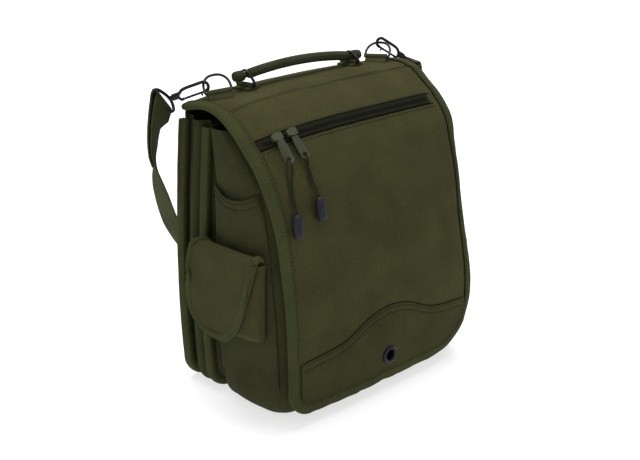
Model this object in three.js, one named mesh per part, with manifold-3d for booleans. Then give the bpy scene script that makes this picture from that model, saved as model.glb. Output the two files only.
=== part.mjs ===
// A canvas field bag: two open compartments, a flap over the top and the front, a side pouch,
// a carrying handle and a shoulder strap on two snap hooks. Millimetres, +Z up, the front faces -Y.
// The origin is on the floor, under the middle of the body.
import * as THREE from 'three';
import { mergeVertices } from 'three/addons/utils/BufferGeometryUtils.js';
import Module from 'manifold-3d';

const wasm = await Module();
wasm.setup();

// Body sizes
const BODY_WIDTH = 296;
const BODY_DEPTH = 165;
const BACK_FACE = 87.6;
const REAR_RIM = 301.5;
const FRONT_RIM = 299;
const REAR_DEPTH = 42.3;
const DIVIDER_GAP = 0.6;
const FOLD_DEPTH = 13;
const FRONT_ROUND = 28;
const FRONT_LIFT = 26;
const CORNER = 26;
const FRONT_BULGE = 6;
const BACK_BULGE = 4;
const FLAT_ABOVE = 0.92;
const CANVAS = 2;
const GAP = 0.4;

// Edge bindings of the body
const BINDING_WIDTH = 12.4;
const BINDING_TOP = 297;

// Flap sizes
const FLAP_WIDTH = 280;
const FLAP_TOP = 327.5;
const FLAP_REACH = 177.5;
const FLAP_CROWN = 20;
const FLAP_HEM_HALF = 128;
const FLAP_HEM = 18;
const FLAP_CORNER_LEFT = 28;
const FLAP_CORNER_RIGHT = 58;
const TAPE_WIDTH = 11;
const TAPE_THICK = 1.1;
const TAPE_START = 30;
const TAPE_ROOM = 0.7;
const PANEL_THICK = 1.1;
const WAVE_END = 57.5;
const WAVE_RISE = 29.5;
const WAVE_MARGIN = 13.5;
const EYELET_UP = 29.2;
const EYELET_RADIUS = 10.7;
const EYELET_BORE = 5.8;
const EYELET_BARREL = 7.2;
const EYELET_FLANGE = 1.2;

// Flap pocket zip
const ZIP_DOWN = 153.5;
const ZIP_WIDTH = 11;
const ZIP_LEFT = -127;
const ZIP_RIGHT = 114;
const ZIP_TAPE = 1;
const CHAIN_WIDTH = 4;
const CHAIN_THICK = 1.6;
const CHAIN_MARGIN = 5;
const SLIDER_LONG = 12;
const SLIDER_WIDE = 9;
const SLIDER_THICK = 4;
const TAB_LONG = 26;
const TAB_WIDE = 10;
const TAB_THICK = 1.8;
const TAB_HOLE = 2.7;
const TAB_RIM = 2.3;
const CORD_RADIUS = 0.8;
const CORD_STEP = 4.6;
const CORD_PASS = 2.6;
const CORD_END_LONG = 23;
const CORD_END_RADIUS = 5.5;

// Side pockets and pouch
const POCKET_THICK = 1.6;
const POCKET_SEAM = 0.8;
const POCKET_MOUTH = 3.6;
const POCKET_LOW = 40;
const POCKET_HIGH = 235;
const POCKET_SAG = 9;
const POUCH_MIDDLE = -13;
const POUCH_HALF = 45;
const POUCH_LOW = 93;
const POUCH_HIGH = 180;
const POUCH_FRONT = 163;
const POUCH_SKEW = 0.05;
const POUCH_BULGE = 4.4;
const POUCH_ROUND = 12;
const POUCH_DROP = 4.6;
const POUCH_FLAP_THICK = 1.8;
const POUCH_TAPE_WIDTH = 8;

// Handle
const HANDLE_DOWN = 65;
const HANDLE_HALF = 76;
const HANDLE_LEFT_Z = 339.5;
const HANDLE_RIGHT_Z = 336.4;
const HANDLE_RISE = 6;
const HANDLE_LEAN = 0.9;
const GRIP_RADIUS = 5.2;
const STOP_RADIUS = 5.6;
const NECK_RADIUS = 3;
const HANDLE_WIRE = 1.1;
const HANDLE_RING_HALF = 14.6;
const HANDLE_TAB_RADIUS = 3;
const HANDLE_TAB_TAIL = 8;
const HANDLE_TAB_LONG = 24;
const TAB_CLOTH = 2;
const WIRE_ROOM = 0.6;

// Strap, D-rings and hooks
const RING_HALF = 14;
const RING_RISE = 23;
const RING_WIRE = 1.3;
const RING_TAB_RADIUS = 3.8;
const RING_TAB_TAIL = 10.5;
const RING_TAB_LONG = 24;
const WEBBING_WIDE = 38;
const WEBBING_THICK = 2;
const HOOK_LONG = 31;
const HOOK_HALF = 5;
const HOOK_WIRE = 1.5;
const BARREL_RADIUS = 3.6;
const BARREL_HALF = 4;
const GATE_WIRE = 1.2;
const GATE_HINGE = 9.6;
const GATE_TAIL = 1.3;
const GATE_NUB = 3.4;
const EYE_DROP = 16;
const EYE_HALF = 22.3;
const EYE_WIRE = 1.5;

const COLOURS = {
  canvas: 0x4b4b2c, binding: 0x565933, webbing: 0x5c5e3a, tape: 0x3b3b29, metal: 0x26262a,
  olive_metal: 0x5a5c46, rubber: 0x1f1f24, cord: 0x17171a,
};
const FINISHES = Object.fromEntries(Object.entries(COLOURS).map(([name, color]) => {
  const metal = name === 'metal' || name === 'olive_metal';
  return [name, new THREE.MeshStandardMaterial({ color, roughness: metal ? 0.4 : 0.9, metalness: metal ? 0.8 : 0 })];
}));

const bag = new THREE.Group();
const V = (x, y, z) => new THREE.Vector3(x, y, z);
const lerp = THREE.MathUtils.lerp;

// Adds one named piece to the bag, or to a group inside it.
function piece(name, geometry, finish, parent = bag) {
  const mesh = new THREE.Mesh(geometry, FINISHES[finish]);
  mesh.name = name;
  parent.add(mesh);
  return mesh;
}

// A list of faces that is closed up into one solid, with every face turned outwards.
class Faces {
  constructor() {
    this.points = [];
  }

  triangle(a, b, c) {
    this.points.push(a, b, c);
  }

  quad(a, b, c, d) {
    this.triangle(a, b, c);
    this.triangle(a, c, d);
  }

  // Joins two rows of points, as a strip of squares; a closed strip ends where it starts.
  strip(first, second, closed = false) {
    const count = closed ? first.length : first.length - 1;
    for (let i = 0; i < count; i += 1) {
      const next = (i + 1) % first.length;
      this.quad(first[i], first[next], second[next], second[i]);
    }
  }

  grid(rows, closed = false) {
    for (let i = 0; i + 1 < rows.length; i += 1) {
      this.strip(rows[i], rows[i + 1], closed);
    }
  }

  // Fills a ring of points that lie round a flat or slightly bent outline.
  fill(ring, outline) {
    const contour = outline.map(([x, y]) => new THREE.Vector2(x, y));
    for (const [a, b, c] of THREE.ShapeUtils.triangulateShape(contour, [])) {
      this.triangle(ring[a], ring[b], ring[c]);
    }
  }

  fan(ring) {
    const middle = ring.reduce((sum, point) => sum.add(point), V(0, 0, 0)).divideScalar(ring.length);
    ring.forEach((point, i) => this.triangle(middle, point, ring[(i + 1) % ring.length]));
  }

  solid() {
    const raw = new THREE.BufferGeometry().setFromPoints(this.points);
    const merged = mergeVertices(raw, 1e-4);
    const index = turnOutwards(Array.from(merged.index.array), merged.attributes.position);
    merged.setIndex(index);
    merged.computeVertexNormals();
    return merged;
  }
}

// Walks from face to neighbouring face so that all turn the same way, then makes the volume positive.
function turnOutwards(index, position) {
  const faces = [];
  for (let i = 0; i < index.length; i += 3) {
    const face = [index[i], index[i + 1], index[i + 2]];
    if (new Set(face).size === 3) {
      faces.push(face);
    }
  }
  const edges = new Map();
  faces.forEach((face, number) => {
    face.forEach((a, k) => {
      const b = face[(k + 1) % 3];
      const key = a < b ? `${a} ${b}` : `${b} ${a}`;
      edges.set(key, [...(edges.get(key) || []), number]);
    });
  });
  const seen = new Array(faces.length).fill(false);
  seen[0] = true;
  const waiting = [0];
  while (waiting.length > 0) {
    const number = waiting.pop();
    const face = faces[number];
    face.forEach((a, k) => {
      const b = face[(k + 1) % 3];
      const key = a < b ? `${a} ${b}` : `${b} ${a}`;
      for (const other of edges.get(key)) {
        if (!seen[other]) {
          const at = faces[other].indexOf(a);
          if (faces[other][(at + 1) % 3] === b) {
            faces[other].reverse();
          }
          seen[other] = true;
          waiting.push(other);
        }
      }
    });
  }
  let volume = 0;
  const [p, q, r] = [V(0, 0, 0), V(0, 0, 0), V(0, 0, 0)];
  for (const [a, b, c] of faces) {
    p.fromBufferAttribute(position, a);
    q.fromBufferAttribute(position, b);
    r.fromBufferAttribute(position, c);
    volume += p.dot(q.cross(r));
  }
  if (volume < 0) {
    faces.forEach((face) => face.reverse());
  }
  return faces.flat();
}

// A closed body through a row of rings, each with as many points; both ends are filled.
function tube(rings, closed = false) {
  const faces = new Faces();
  faces.grid(closed ? [...rings, rings[0]] : rings, true);
  if (!closed) {
    faces.fan(rings[0]);
    faces.fan(rings[rings.length - 1]);
  }
  return faces.solid();
}

// A sheet with a front and a back: point(row, column, back) gives each corner.
function sheet(rows, columns, point) {
  const faces = new Faces();
  const front = rows.map((row) => columns.map((column) => point(row, column, false)));
  const back = rows.map((row) => columns.map((column) => point(row, column, true)));
  faces.grid(front);
  faces.grid(back);
  const rim = (grid) => [
    ...grid[0],
    ...grid.slice(1).map((row) => row[row.length - 1]),
    ...grid[grid.length - 1].slice(0, -1).reverse(),
    ...grid.slice(1, -1).map((row) => row[0]).reverse(),
  ];
  faces.strip(rim(front), rim(back), true);
  return faces.solid();
}

// A round wire along a curve that lies near one plane, which has the given normal.
function wire(curve, radius, normal, steps, sides = 6) {
  const rings = [];
  const count = curve.closed ? steps : steps + 1;
  for (let i = 0; i < count; i += 1) {
    const point = curve.getPoint(i / steps);
    const side = curve.getTangent(i / steps).cross(normal).normalize();
    rings.push(circle(point, side, normal, radius, sides));
  }
  return tube(rings, curve.closed);
}

function circle(centre, across, up, radius, sides) {
  return Array.from({ length: sides }, (_, k) => {
    const turn = (2 * Math.PI * (k + 0.5)) / sides;
    const point = centre.clone().addScaledVector(across, radius * Math.cos(turn));
    return point.addScaledVector(up, radius * Math.sin(turn));
  });
}

function spread(count) {
  return Array.from({ length: count + 1 }, (_, i) => i / count);
}

// Straight interpolation in a table with named columns, by the column in its first name.
function look(table, key, value, column) {
  let i = 0;
  while (i + 2 < table.length && value > table[i + 1][key]) {
    i += 1;
  }
  const share = (value - table[i][key]) / (table[i + 1][key] - table[i][key]);
  return lerp(table[i][column], table[i + 1][column], THREE.MathUtils.clamp(share, 0, 1));
}

// The body by height: z as a share of REAR_RIM, half as a share of half of BODY_WIDTH, and how far the
// front panel stands back, as a share of BODY_DEPTH.
const LEVELS = [
  { z: 0.0, half: 0.966, back: 0.012 },
  { z: 0.13, half: 0.983, back: 0.005 },
  { z: 0.26, half: 0.997, back: 0.0 },
  { z: 0.4, half: 1.0, back: 0.015 },
  { z: 0.49, half: 0.999, back: 0.039 },
  { z: 0.585, half: 0.993, back: 0.064 },
  { z: 0.675, half: 0.985, back: 0.1 },
  { z: 0.757, half: 0.975, back: 0.152 },
  { z: 0.83, half: 0.965, back: 0.227 },
  { z: 0.895, half: 0.954, back: 0.33 },
  { z: 0.947, half: 0.945, back: 0.43 },
  { z: 1.0, half: 0.934, back: 0.54 },
];
const halfAt = (z) => (look(LEVELS, 'z', z / REAR_RIM, 'half') * BODY_WIDTH) / 2;
const frontAt = (z) => BACK_FACE - BODY_DEPTH + look(LEVELS, 'z', z / REAR_RIM, 'back') * BODY_DEPTH;

// The side strips from back to front: at is a share of the compartment's depth, fold a share of
// FOLD_DEPTH, round a share of FRONT_ROUND and FRONT_LIFT.
const REAR_STRIP = [
  { at: 0, fold: 0.7, round: 0 },
  { at: 0.27, fold: 0.7, round: 0 },
  { at: 0.42, fold: 0.25, round: 0 },
  { at: 0.6, fold: 0, round: 0 },
  { at: 0.75, fold: 0.25, round: 0 },
  { at: 0.83, fold: 0.7, round: 0 },
  { at: 1, fold: 0.7, round: 0 },
];
const FRONT_STRIP = [
  { at: 0, fold: 0.7, round: 0 },
  { at: 0.055, fold: 0.7, round: 0 },
  { at: 0.09, fold: 1, round: 0 },
  { at: 0.145, fold: 1, round: 0 },
  { at: 0.2, fold: 0.3, round: 0 },
  { at: 0.33, fold: 0, round: 0 },
  { at: 0.62, fold: -0.07, round: 0 },
  { at: 0.8, fold: 0, round: 0.08 },
  { at: 0.9, fold: 0, round: 0.28 },
  { at: 0.965, fold: 0, round: 0.6 },
  { at: 1, fold: 0, round: 1 },
];
const insetOf = (row) => row.fold * FOLD_DEPTH + row.round * FRONT_ROUND;
const liftOf = (row) => Math.max(0, row.fold * FOLD_DEPTH) + row.round * FRONT_LIFT;

const SIDE_SHARES = [1, 0.88, 0.75, 0.58, 0.38, 0.18, 0];
const CORNER_STEPS = 3;
const BOTTOM_STEPS = 4;

// The U-shaped outline of the body seen from the front, from the left rim round to the right rim.
function outline(inset, lift, rim) {
  const radius = Math.max(CORNER - inset / 2, CORNER / 3);
  const low = lift + radius;
  const left = SIDE_SHARES.map((share) => {
    const z = lerp(low, rim, share);
    return { x: inset - halfAt(z), z };
  });
  const bottom = halfAt(low) - inset - radius;
  for (let k = 1; k <= CORNER_STEPS; k += 1) {
    const turn = (Math.PI / 2) * (k / CORNER_STEPS);
    left.push({ x: -bottom - radius * Math.cos(turn), z: low - radius * Math.sin(turn) });
  }
  const middle = spread(BOTTOM_STEPS).slice(1, -1).map((share) => ({ x: lerp(-bottom, bottom, share), z: lift }));
  const right = left.map(({ x, z }) => ({ x: -x, z })).reverse();
  return [...left, ...middle, ...right];
}

// A compartment: a back and a front panel joined by the folded strip, open at the top.
function compartment({ strip, back, front, rim, backBulge, frontBulge }) {
  const faces = new Faces();
  const ladder = SIDE_SHARES.length + CORNER_STEPS;
  const wallLoop = [];
  for (const wall of [0, CANVAS]) {
    const rings = strip.map((row) => {
      const points = outline(insetOf(row) + wall, liftOf(row) + wall, rim);
      return points.map(({ x, z }) => V(x, lerp(back(z) - wall, front(z) + wall, row.at), z));
    });
    faces.grid(rings);
    const panel = (ring, bulge) => Array.from({ length: ladder }, (_, i) => {
      const [a, b] = [ring[i], ring[ring.length - 1 - i]];
      return spread(BOTTOM_STEPS).map((share) => {
        const point = a.clone().lerp(b, share);
        const rise = THREE.MathUtils.clamp((point.z - ring[ladder].z) / (rim / 5), 0, 1);
        const sink = THREE.MathUtils.clamp((rim * 0.92 - point.z) / (rim / 5), 0, 1);
        point.y += bulge(1 - (2 * share - 1) ** 2, rise, sink);
        return point;
      });
    });
    const backPanel = panel(rings[0], backBulge);
    const frontPanel = panel(rings[rings.length - 1], frontBulge);
    faces.grid(backPanel);
    faces.grid(frontPanel);
    wallLoop.push([
      ...rings.map((ring) => ring[0]),
      ...frontPanel[0].slice(1, -1),
      ...rings.map((ring) => ring[ring.length - 1]).reverse(),
      ...backPanel[0].slice(1, -1).reverse(),
    ]);
  }
  faces.strip(wallLoop[0], wallLoop[1], true);
  return faces.solid();
}

const REAR_FRONT = BACK_FACE - REAR_DEPTH;
const FRONT_BACK = REAR_FRONT - DIVIDER_GAP;

piece('rear_compartment', compartment({
  strip: REAR_STRIP,
  back: () => BACK_FACE,
  front: () => REAR_FRONT,
  rim: REAR_RIM,
  backBulge: (across, rise, sink) => BACK_BULGE * across * rise * sink,
  frontBulge: () => 0,
}), 'canvas');
piece('front_compartment', compartment({
  strip: FRONT_STRIP,
  back: () => FRONT_BACK,
  front: frontAt,
  rim: FRONT_RIM,
  backBulge: () => 0,
  frontBulge: (across, rise) => -FRONT_BULGE * across * rise,
}), 'canvas');

// Bound seams: a thick rounded tape that lies in the step of the side strips, all round the body.
const BINDING_SECTION = [
  { inset: 0.02, along: -0.28 },
  { inset: 0.02, along: 0.28 },
  { inset: 0.3, along: 0.5 },
  { inset: 1, along: 0.42 },
  { inset: 1, along: -0.42 },
  { inset: 0.3, along: -0.5 },
];
function edgeBinding(middle) {
  const depth = REAR_STRIP[0].fold * FOLD_DEPTH - GAP;
  const lines = BINDING_SECTION.map(({ inset, along }) => {
    const points = outline(inset * depth, inset * depth, BINDING_TOP);
    return points.map(({ x, z }) => V(x, middle + along * BINDING_WIDTH, z));
  });
  return tube(lines[0].map((_, i) => lines.map((line) => line[i])));
}
const REAR_BINDING_Y = BACK_FACE - BINDING_WIDTH / 2 + 3;
const MIDDLE_BINDING_Y = REAR_FRONT + 0.4;
piece('rear_edge_binding', edgeBinding(REAR_BINDING_Y), 'binding');
piece('middle_edge_binding', edgeBinding(MIDDLE_BINDING_Y), 'binding');

// The flap's middle line from the back hem to the front hem: reach is a share of FLAP_REACH, z a share
// of FLAP_TOP, left and right say how far the two edges lie below the middle, as shares of FLAP_CROWN.
const FLAP_LINE = [
  { reach: 0.0, z: 0.879, left: 0, right: 0 },
  { reach: 0.0, z: 0.934, left: 0.05, right: 0.05 },
  { reach: 0.039, z: 0.9756, left: 0.45, right: 0.3 },
  { reach: 0.141, z: 0.994, left: 0.5, right: 0.25 },
  { reach: 0.27, z: 1.0, left: 0.45, right: 0.15 },
  { reach: 0.383, z: 0.9985, left: 0.6, right: 0.1 },
  { reach: 0.468, z: 0.9887, left: 0.75, right: 0.15 },
  { reach: 0.575, z: 0.9618, left: 0.9, right: 0.35 },
  { reach: 0.682, z: 0.9176, left: 1.0, right: 0.35 },
  { reach: 0.786, z: 0.852, left: 0.9, right: 0.4 },
  { reach: 0.87, z: 0.763, left: 0.75, right: 0.8 },
  { reach: 0.93, z: 0.65, left: 0.5, right: 0.9 },
  { reach: 0.969, z: 0.525, left: 0.45, right: 0.9 },
  { reach: 0.992, z: 0.391, left: 0.325, right: 0.6 },
  { reach: 1.0, z: 0.25, left: 0.25, right: 0.3 },
  { reach: 0.997, z: 0.128, left: 0.2, right: 0.45 },
  { reach: 0.986, z: 0.04, left: 0.15, right: 0.6 },
];
const FLAP_BACK = BACK_FACE + GAP + CANVAS;
const HALF_FLAP = FLAP_WIDTH / 2;
const flapRows = FLAP_LINE.map(({ reach, z, left, right }) => (
  [FLAP_BACK - reach * FLAP_REACH, z * FLAP_TOP, left * FLAP_CROWN, right * FLAP_CROWN]
));
const flapStops = [0];
for (let i = 1; i < flapRows.length; i += 1) {
  const [a, b] = [flapRows[i - 1], flapRows[i]];
  flapStops.push(flapStops[i - 1] + Math.hypot(b[0] - a[0], b[1] - a[1]));
}
const FLAP_LONG = flapStops[flapStops.length - 1];

// A smooth line through the rows: a cubic between neighbours, with slopes taken from both sides.
const flapSlopes = flapRows.map((row, i) => row.map((value, k) => {
  const last = flapRows.length - 1;
  const slope = (a, b) => (flapRows[b][k] - flapRows[a][k]) / (flapStops[b] - flapStops[a]);
  if (i === 0 || i === last) {
    return i === 0 ? slope(0, 1) : slope(last - 1, last);
  }
  const before = flapStops[i] - flapStops[i - 1];
  const after = flapStops[i + 1] - flapStops[i];
  return (slope(i, i + 1) * before + slope(i - 1, i) * after) / (before + after);
}));

function flapLine(s) {
  let i = 0;
  while (i + 2 < flapStops.length && s > flapStops[i + 1]) {
    i += 1;
  }
  const long = flapStops[i + 1] - flapStops[i];
  const t = (s - flapStops[i]) / long;
  return flapRows[i].map((value, k) => (
    (2 * t ** 3 - 3 * t ** 2 + 1) * value + (t ** 3 - 2 * t ** 2 + t) * long * flapSlopes[i][k]
    + (3 * t ** 2 - 2 * t ** 3) * flapRows[i + 1][k] + (t ** 3 - t ** 2) * long * flapSlopes[i + 1][k]
  ));
}

// The flap's outer face at a place x across and s down; the edges fall away from the middle line.
const EDGE_CURL = 0.28;
const CURL_START = 0.86;
function flapFace(x, s) {
  const [y, z, left, right] = flapLine(s);
  const [y0, z0] = flapLine(s - 0.5);
  const [y1, z1] = flapLine(s + 0.5);
  const long = Math.hypot(y1 - y0, z1 - z0);
  const [ny, nz] = [(z1 - z0) / long, -(y1 - y0) / long];
  const out = Math.abs(x) / HALF_FLAP;
  const curl = Math.max(0, (out - CURL_START) / (1 - CURL_START)) ** 1.5;
  const fall = (x < 0 ? left : right) * ((1 - EDGE_CURL) * out ** 2.6 + EDGE_CURL * curl);
  return V(x, y - ny * fall, z - nz * fall);
}

// The same place, lifted off the face by the given height, and the face's own directions there.
function onFlap(x, s, height = 0) {
  const point = flapFace(x, s);
  const across = flapFace(x + 0.5, s).sub(flapFace(x - 0.5, s)).normalize();
  const down = flapFace(x, s + 0.5).sub(flapFace(x, s - 0.5)).normalize();
  const normal = down.clone().cross(across).normalize();
  point.addScaledVector(normal, height);
  return { point, across, down, normal };
}
const flapPoint = (x, s, height) => onFlap(x, s, height).point;

// Half of the flap's width at s, with the rounded lower corners, for the left or the right side.
function flapHalf(s, side, margin = 0) {
  const radius = (side < 0 ? FLAP_CORNER_LEFT : FLAP_CORNER_RIGHT) - margin;
  const into = THREE.MathUtils.clamp(s - (FLAP_LONG - margin - radius), 0, radius);
  const neck = THREE.MathUtils.clamp((s - FLAP_HEM) / (TAPE_START - FLAP_HEM - 2), 0, 1);
  const half = lerp(FLAP_HEM_HALF, HALF_FLAP, neck) - margin;
  return half - radius + Math.sqrt(radius ** 2 - into ** 2);
}

const turnedRows = [15, 30, 45, 60, 75, 90].map((degrees) => (
  FLAP_LONG - FLAP_CORNER_RIGHT * (1 - Math.sin(THREE.MathUtils.degToRad(degrees)))
));
const middles = flapStops.slice(4, 12).map((stop, i) => (stop + flapStops[i + 5]) / 2);
const flapRowList = [...flapStops.slice(0, 14), ...middles, FLAP_LONG - FLAP_CORNER_RIGHT, ...turnedRows];
flapRowList.push((FLAP_HEM + TAPE_START) / 2);
flapRowList.sort((a, b) => a - b);
const FLAP_COLUMNS = [-1, -0.93, -0.84, -0.7, -0.48, -0.24, 0, 0.24, 0.48, 0.7, 0.84, 0.93, 1];

function asManifold(geometry) {
  const bare = geometry.clone();
  bare.deleteAttribute('normal');
  bare.deleteAttribute('uv');
  const merged = mergeVertices(bare, 1e-4);
  const vertProperties = new Float32Array(merged.attributes.position.array);
  const triVerts = new Uint32Array(merged.index.array);
  return new wasm.Manifold(new wasm.Mesh({ numProp: 3, vertProperties, triVerts }));
}

function fromManifold(solid) {
  const { vertProperties, triVerts } = solid.getMesh();
  const geometry = new THREE.BufferGeometry();
  geometry.setAttribute('position', new THREE.BufferAttribute(new Float32Array(vertProperties), 3));
  geometry.setIndex(new THREE.BufferAttribute(new Uint32Array(triVerts), 1));
  geometry.computeVertexNormals();
  return geometry;
}

// A turning matrix from three directions, with the place of its origin.
function placed(point, x, y, z) {
  return new THREE.Matrix4().makeBasis(x, y, z).setPosition(point);
}

const eyeletSpot = onFlap(0, FLAP_LONG - EYELET_UP, 0);
const eyeletPlace = placed(eyeletSpot.point, eyeletSpot.down, eyeletSpot.normal,
  eyeletSpot.down.clone().cross(eyeletSpot.normal));
const eyeletDrill = new THREE.CylinderGeometry(EYELET_BARREL + GAP, EYELET_BARREL + GAP, 20, 20);
eyeletDrill.applyMatrix4(eyeletPlace);
const drilled = (geometry) => fromManifold(asManifold(geometry).subtract(asManifold(eyeletDrill)));

const flapSheet = sheet(flapRowList, FLAP_COLUMNS, (s, column, back) => (
  flapPoint(column * flapHalf(s, column), s, back ? -CANVAS : 0)
));
piece('flap', drilled(flapSheet), 'canvas');

// The tape round the flap's free edge, a channel that holds the edge of the canvas.
const TAPE_OUT = 0.5;
const TAPE_SECTION = [
  [-TAPE_WIDTH, TAPE_ROOM + TAPE_THICK],
  [TAPE_OUT, TAPE_ROOM + TAPE_THICK],
  [TAPE_OUT + TAPE_THICK, -CANVAS / 2],
  [TAPE_OUT, -CANVAS - TAPE_ROOM - TAPE_THICK],
  [-TAPE_WIDTH, -CANVAS - TAPE_ROOM - TAPE_THICK],
  [-TAPE_WIDTH, -CANVAS - TAPE_ROOM],
  [TAPE_OUT - 0.1, -CANVAS - TAPE_ROOM],
  [TAPE_OUT - 0.1, TAPE_ROOM],
  [-TAPE_WIDTH, TAPE_ROOM],
];

// The flap's free edge, from the back left over the lower corners to the back right: places on the
// edge itself, each with the direction that points out of the flap.
function flapEdge() {
  const edge = [];
  const sideRows = flapRowList.filter((s) => s > TAPE_START && s < FLAP_LONG - FLAP_CORNER_RIGHT - 1);
  const side = [TAPE_START, ...sideRows];
  const corner = (radius, sign) => {
    const rows = flapRowList.filter((s) => s > FLAP_LONG - radius - 0.01);
    return rows.map((s) => {
      const low = 1 - (FLAP_LONG - s) / radius;
      const out = Math.sqrt(Math.max(0, 1 - low ** 2));
      return { x: sign * (HALF_FLAP - radius + radius * out), s, out: sign * out, low };
    });
  };
  const sideLow = flapRowList.filter((s) => s > side[side.length - 1] && s < FLAP_LONG - FLAP_CORNER_LEFT);
  [...side, ...sideLow].forEach((s) => edge.push({ x: -HALF_FLAP, s, out: -1, low: 0 }));
  edge.push(...corner(FLAP_CORNER_LEFT, -1));
  const [first, last] = [FLAP_CORNER_LEFT - HALF_FLAP, HALF_FLAP - FLAP_CORNER_RIGHT];
  spread(7).slice(1, -1).forEach((share) => edge.push({ x: lerp(first, last, share), s: FLAP_LONG, out: 0, low: 1 }));
  edge.push(...corner(FLAP_CORNER_RIGHT, 1).reverse());
  side.reverse().forEach((s) => edge.push({ x: HALF_FLAP, s, out: 1, low: 0 }));
  return edge;
}

function channel(edge, section, place) {
  const faces = new Faces();
  const rings = edge.map((spot) => section.map(([out, height]) => place(spot, out, height)));
  faces.grid(rings, true);
  faces.fill(rings[0], section);
  faces.fill(rings[rings.length - 1], section);
  return faces.solid();
}
piece('flap_binding', channel(flapEdge(), TAPE_SECTION, (spot, out, height) => (
  flapPoint(spot.x + spot.out * out, spot.s + spot.low * out, height)
)), 'binding');

// The second layer on the lower flap; its upper edge is a low wave with a hump in the middle.
const WAVE = [
  { out: 0, rise: 1 },
  { out: 0.14, rise: 0.93 },
  { out: 0.25, rise: 0.8 },
  { out: 0.37, rise: 0.56 },
  { out: 0.51, rise: 0.3 },
  { out: 0.75, rise: 0.12 },
  { out: 1, rise: 0 },
];
const PANEL_BASE = GAP;
const panelHalf = HALF_FLAP - WAVE_MARGIN;
function panelSpot(across, down) {
  const x = across * panelHalf;
  const top = FLAP_LONG - WAVE_END - WAVE_RISE * look(WAVE, 'out', Math.abs(across), 'rise');
  const margin = TAPE_WIDTH + GAP;
  const radius = (x < 0 ? FLAP_CORNER_LEFT : FLAP_CORNER_RIGHT) - margin;
  const into = Math.max(0, Math.abs(x) - (HALF_FLAP - margin - radius));
  const low = FLAP_LONG - margin - radius + Math.sqrt(radius ** 2 - into ** 2);
  return [x, lerp(top, low, down)];
}
const PANEL_COLUMNS = [-1, -0.93, -0.85, -0.75, -0.62, -0.51, -0.37, -0.25, -0.12, 0,
  0.12, 0.25, 0.37, 0.51, 0.62, 0.75, 0.85, 0.93, 1];
const panelSheet = sheet(spread(3), PANEL_COLUMNS, (down, across, back) => {
  const [x, s] = panelSpot(across, down);
  return flapPoint(x, s, PANEL_BASE + (back ? 0 : PANEL_THICK));
});
piece('flap_lower_panel', drilled(panelSheet), 'canvas');

// Eyelet: a barrel with a flange on each face of the flap.
const eyeletTop = PANEL_BASE + PANEL_THICK + GAP;
const eyeletLow = -CANVAS - GAP;
const eyeletProfile = [
  [EYELET_BORE, eyeletLow - EYELET_FLANGE],
  [EYELET_RADIUS, eyeletLow - EYELET_FLANGE],
  [EYELET_RADIUS, eyeletLow],
  [EYELET_BARREL, eyeletLow],
  [EYELET_BARREL, eyeletTop],
  [EYELET_RADIUS, eyeletTop],
  [EYELET_RADIUS - EYELET_FLANGE / 2, eyeletTop + EYELET_FLANGE],
  [EYELET_BORE, eyeletTop + EYELET_FLANGE],
  [EYELET_BORE, eyeletLow - EYELET_FLANGE],
].map(([r, h]) => new THREE.Vector2(r, h));
const eyelet = new THREE.LatheGeometry(eyeletProfile, 16);
eyelet.applyMatrix4(eyeletPlace);
piece('flap_eyelet', eyelet, 'metal');

// Zip: a tape on the flap, with the chain along its middle.
const ZIP_BASE = GAP;
const CHAIN_BASE = ZIP_BASE + ZIP_TAPE + GAP;
const CHAIN_TOP = CHAIN_BASE + CHAIN_THICK;
const ZIP_MIDDLE = ZIP_DOWN + ZIP_WIDTH / 2;
function flapStrip(left, right, middle, wide, low, high) {
  const columns = FLAP_COLUMNS.map((column) => column * HALF_FLAP).filter((x) => x > left + 1 && x < right - 1);
  return sheet([middle - wide / 2, middle, middle + wide / 2], [left, ...columns, right], (s, x, back) => (
    flapPoint(x, s, back ? low : high)
  ));
}
piece('zip_tape', flapStrip(ZIP_LEFT, ZIP_RIGHT, ZIP_MIDDLE, ZIP_WIDTH, ZIP_BASE, ZIP_BASE + ZIP_TAPE), 'tape');
piece('zip_chain', flapStrip(ZIP_LEFT + CHAIN_MARGIN, ZIP_RIGHT - CHAIN_MARGIN, ZIP_MIDDLE, CHAIN_WIDTH,
  CHAIN_BASE, CHAIN_TOP), 'tape');

// Pulls: x is the slider's place along the zip, lean the tab's sideways run over its length, turn how
// far the tab is turned about its own length in degrees.
const PULLS = [
  { side: 'left', x: -108.5, lean: 0.4, turn: 64, height: 8.2, fall: 0.8 },
  { side: 'right', x: -91, lean: 3, turn: 0, height: 6.4, fall: 0.6 },
];

function slider(x) {
  const shape = new THREE.Shape();
  const [half, wide] = [SLIDER_LONG / 2, SLIDER_WIDE / 2];
  shape.moveTo(-half, -wide * 0.6);
  shape.lineTo(0, -wide);
  shape.lineTo(half, -wide * 0.8);
  shape.lineTo(half, wide * 0.8);
  shape.lineTo(0, wide);
  shape.lineTo(-half, wide * 0.6);
  const body = new THREE.ExtrudeGeometry(shape, { depth: SLIDER_THICK, bevelEnabled: false });
  const spot = onFlap(x, ZIP_MIDDLE, CHAIN_TOP + GAP);
  body.applyMatrix4(placed(spot.point, spot.across, spot.normal.clone().cross(spot.across), spot.normal));
  return body;
}

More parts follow.
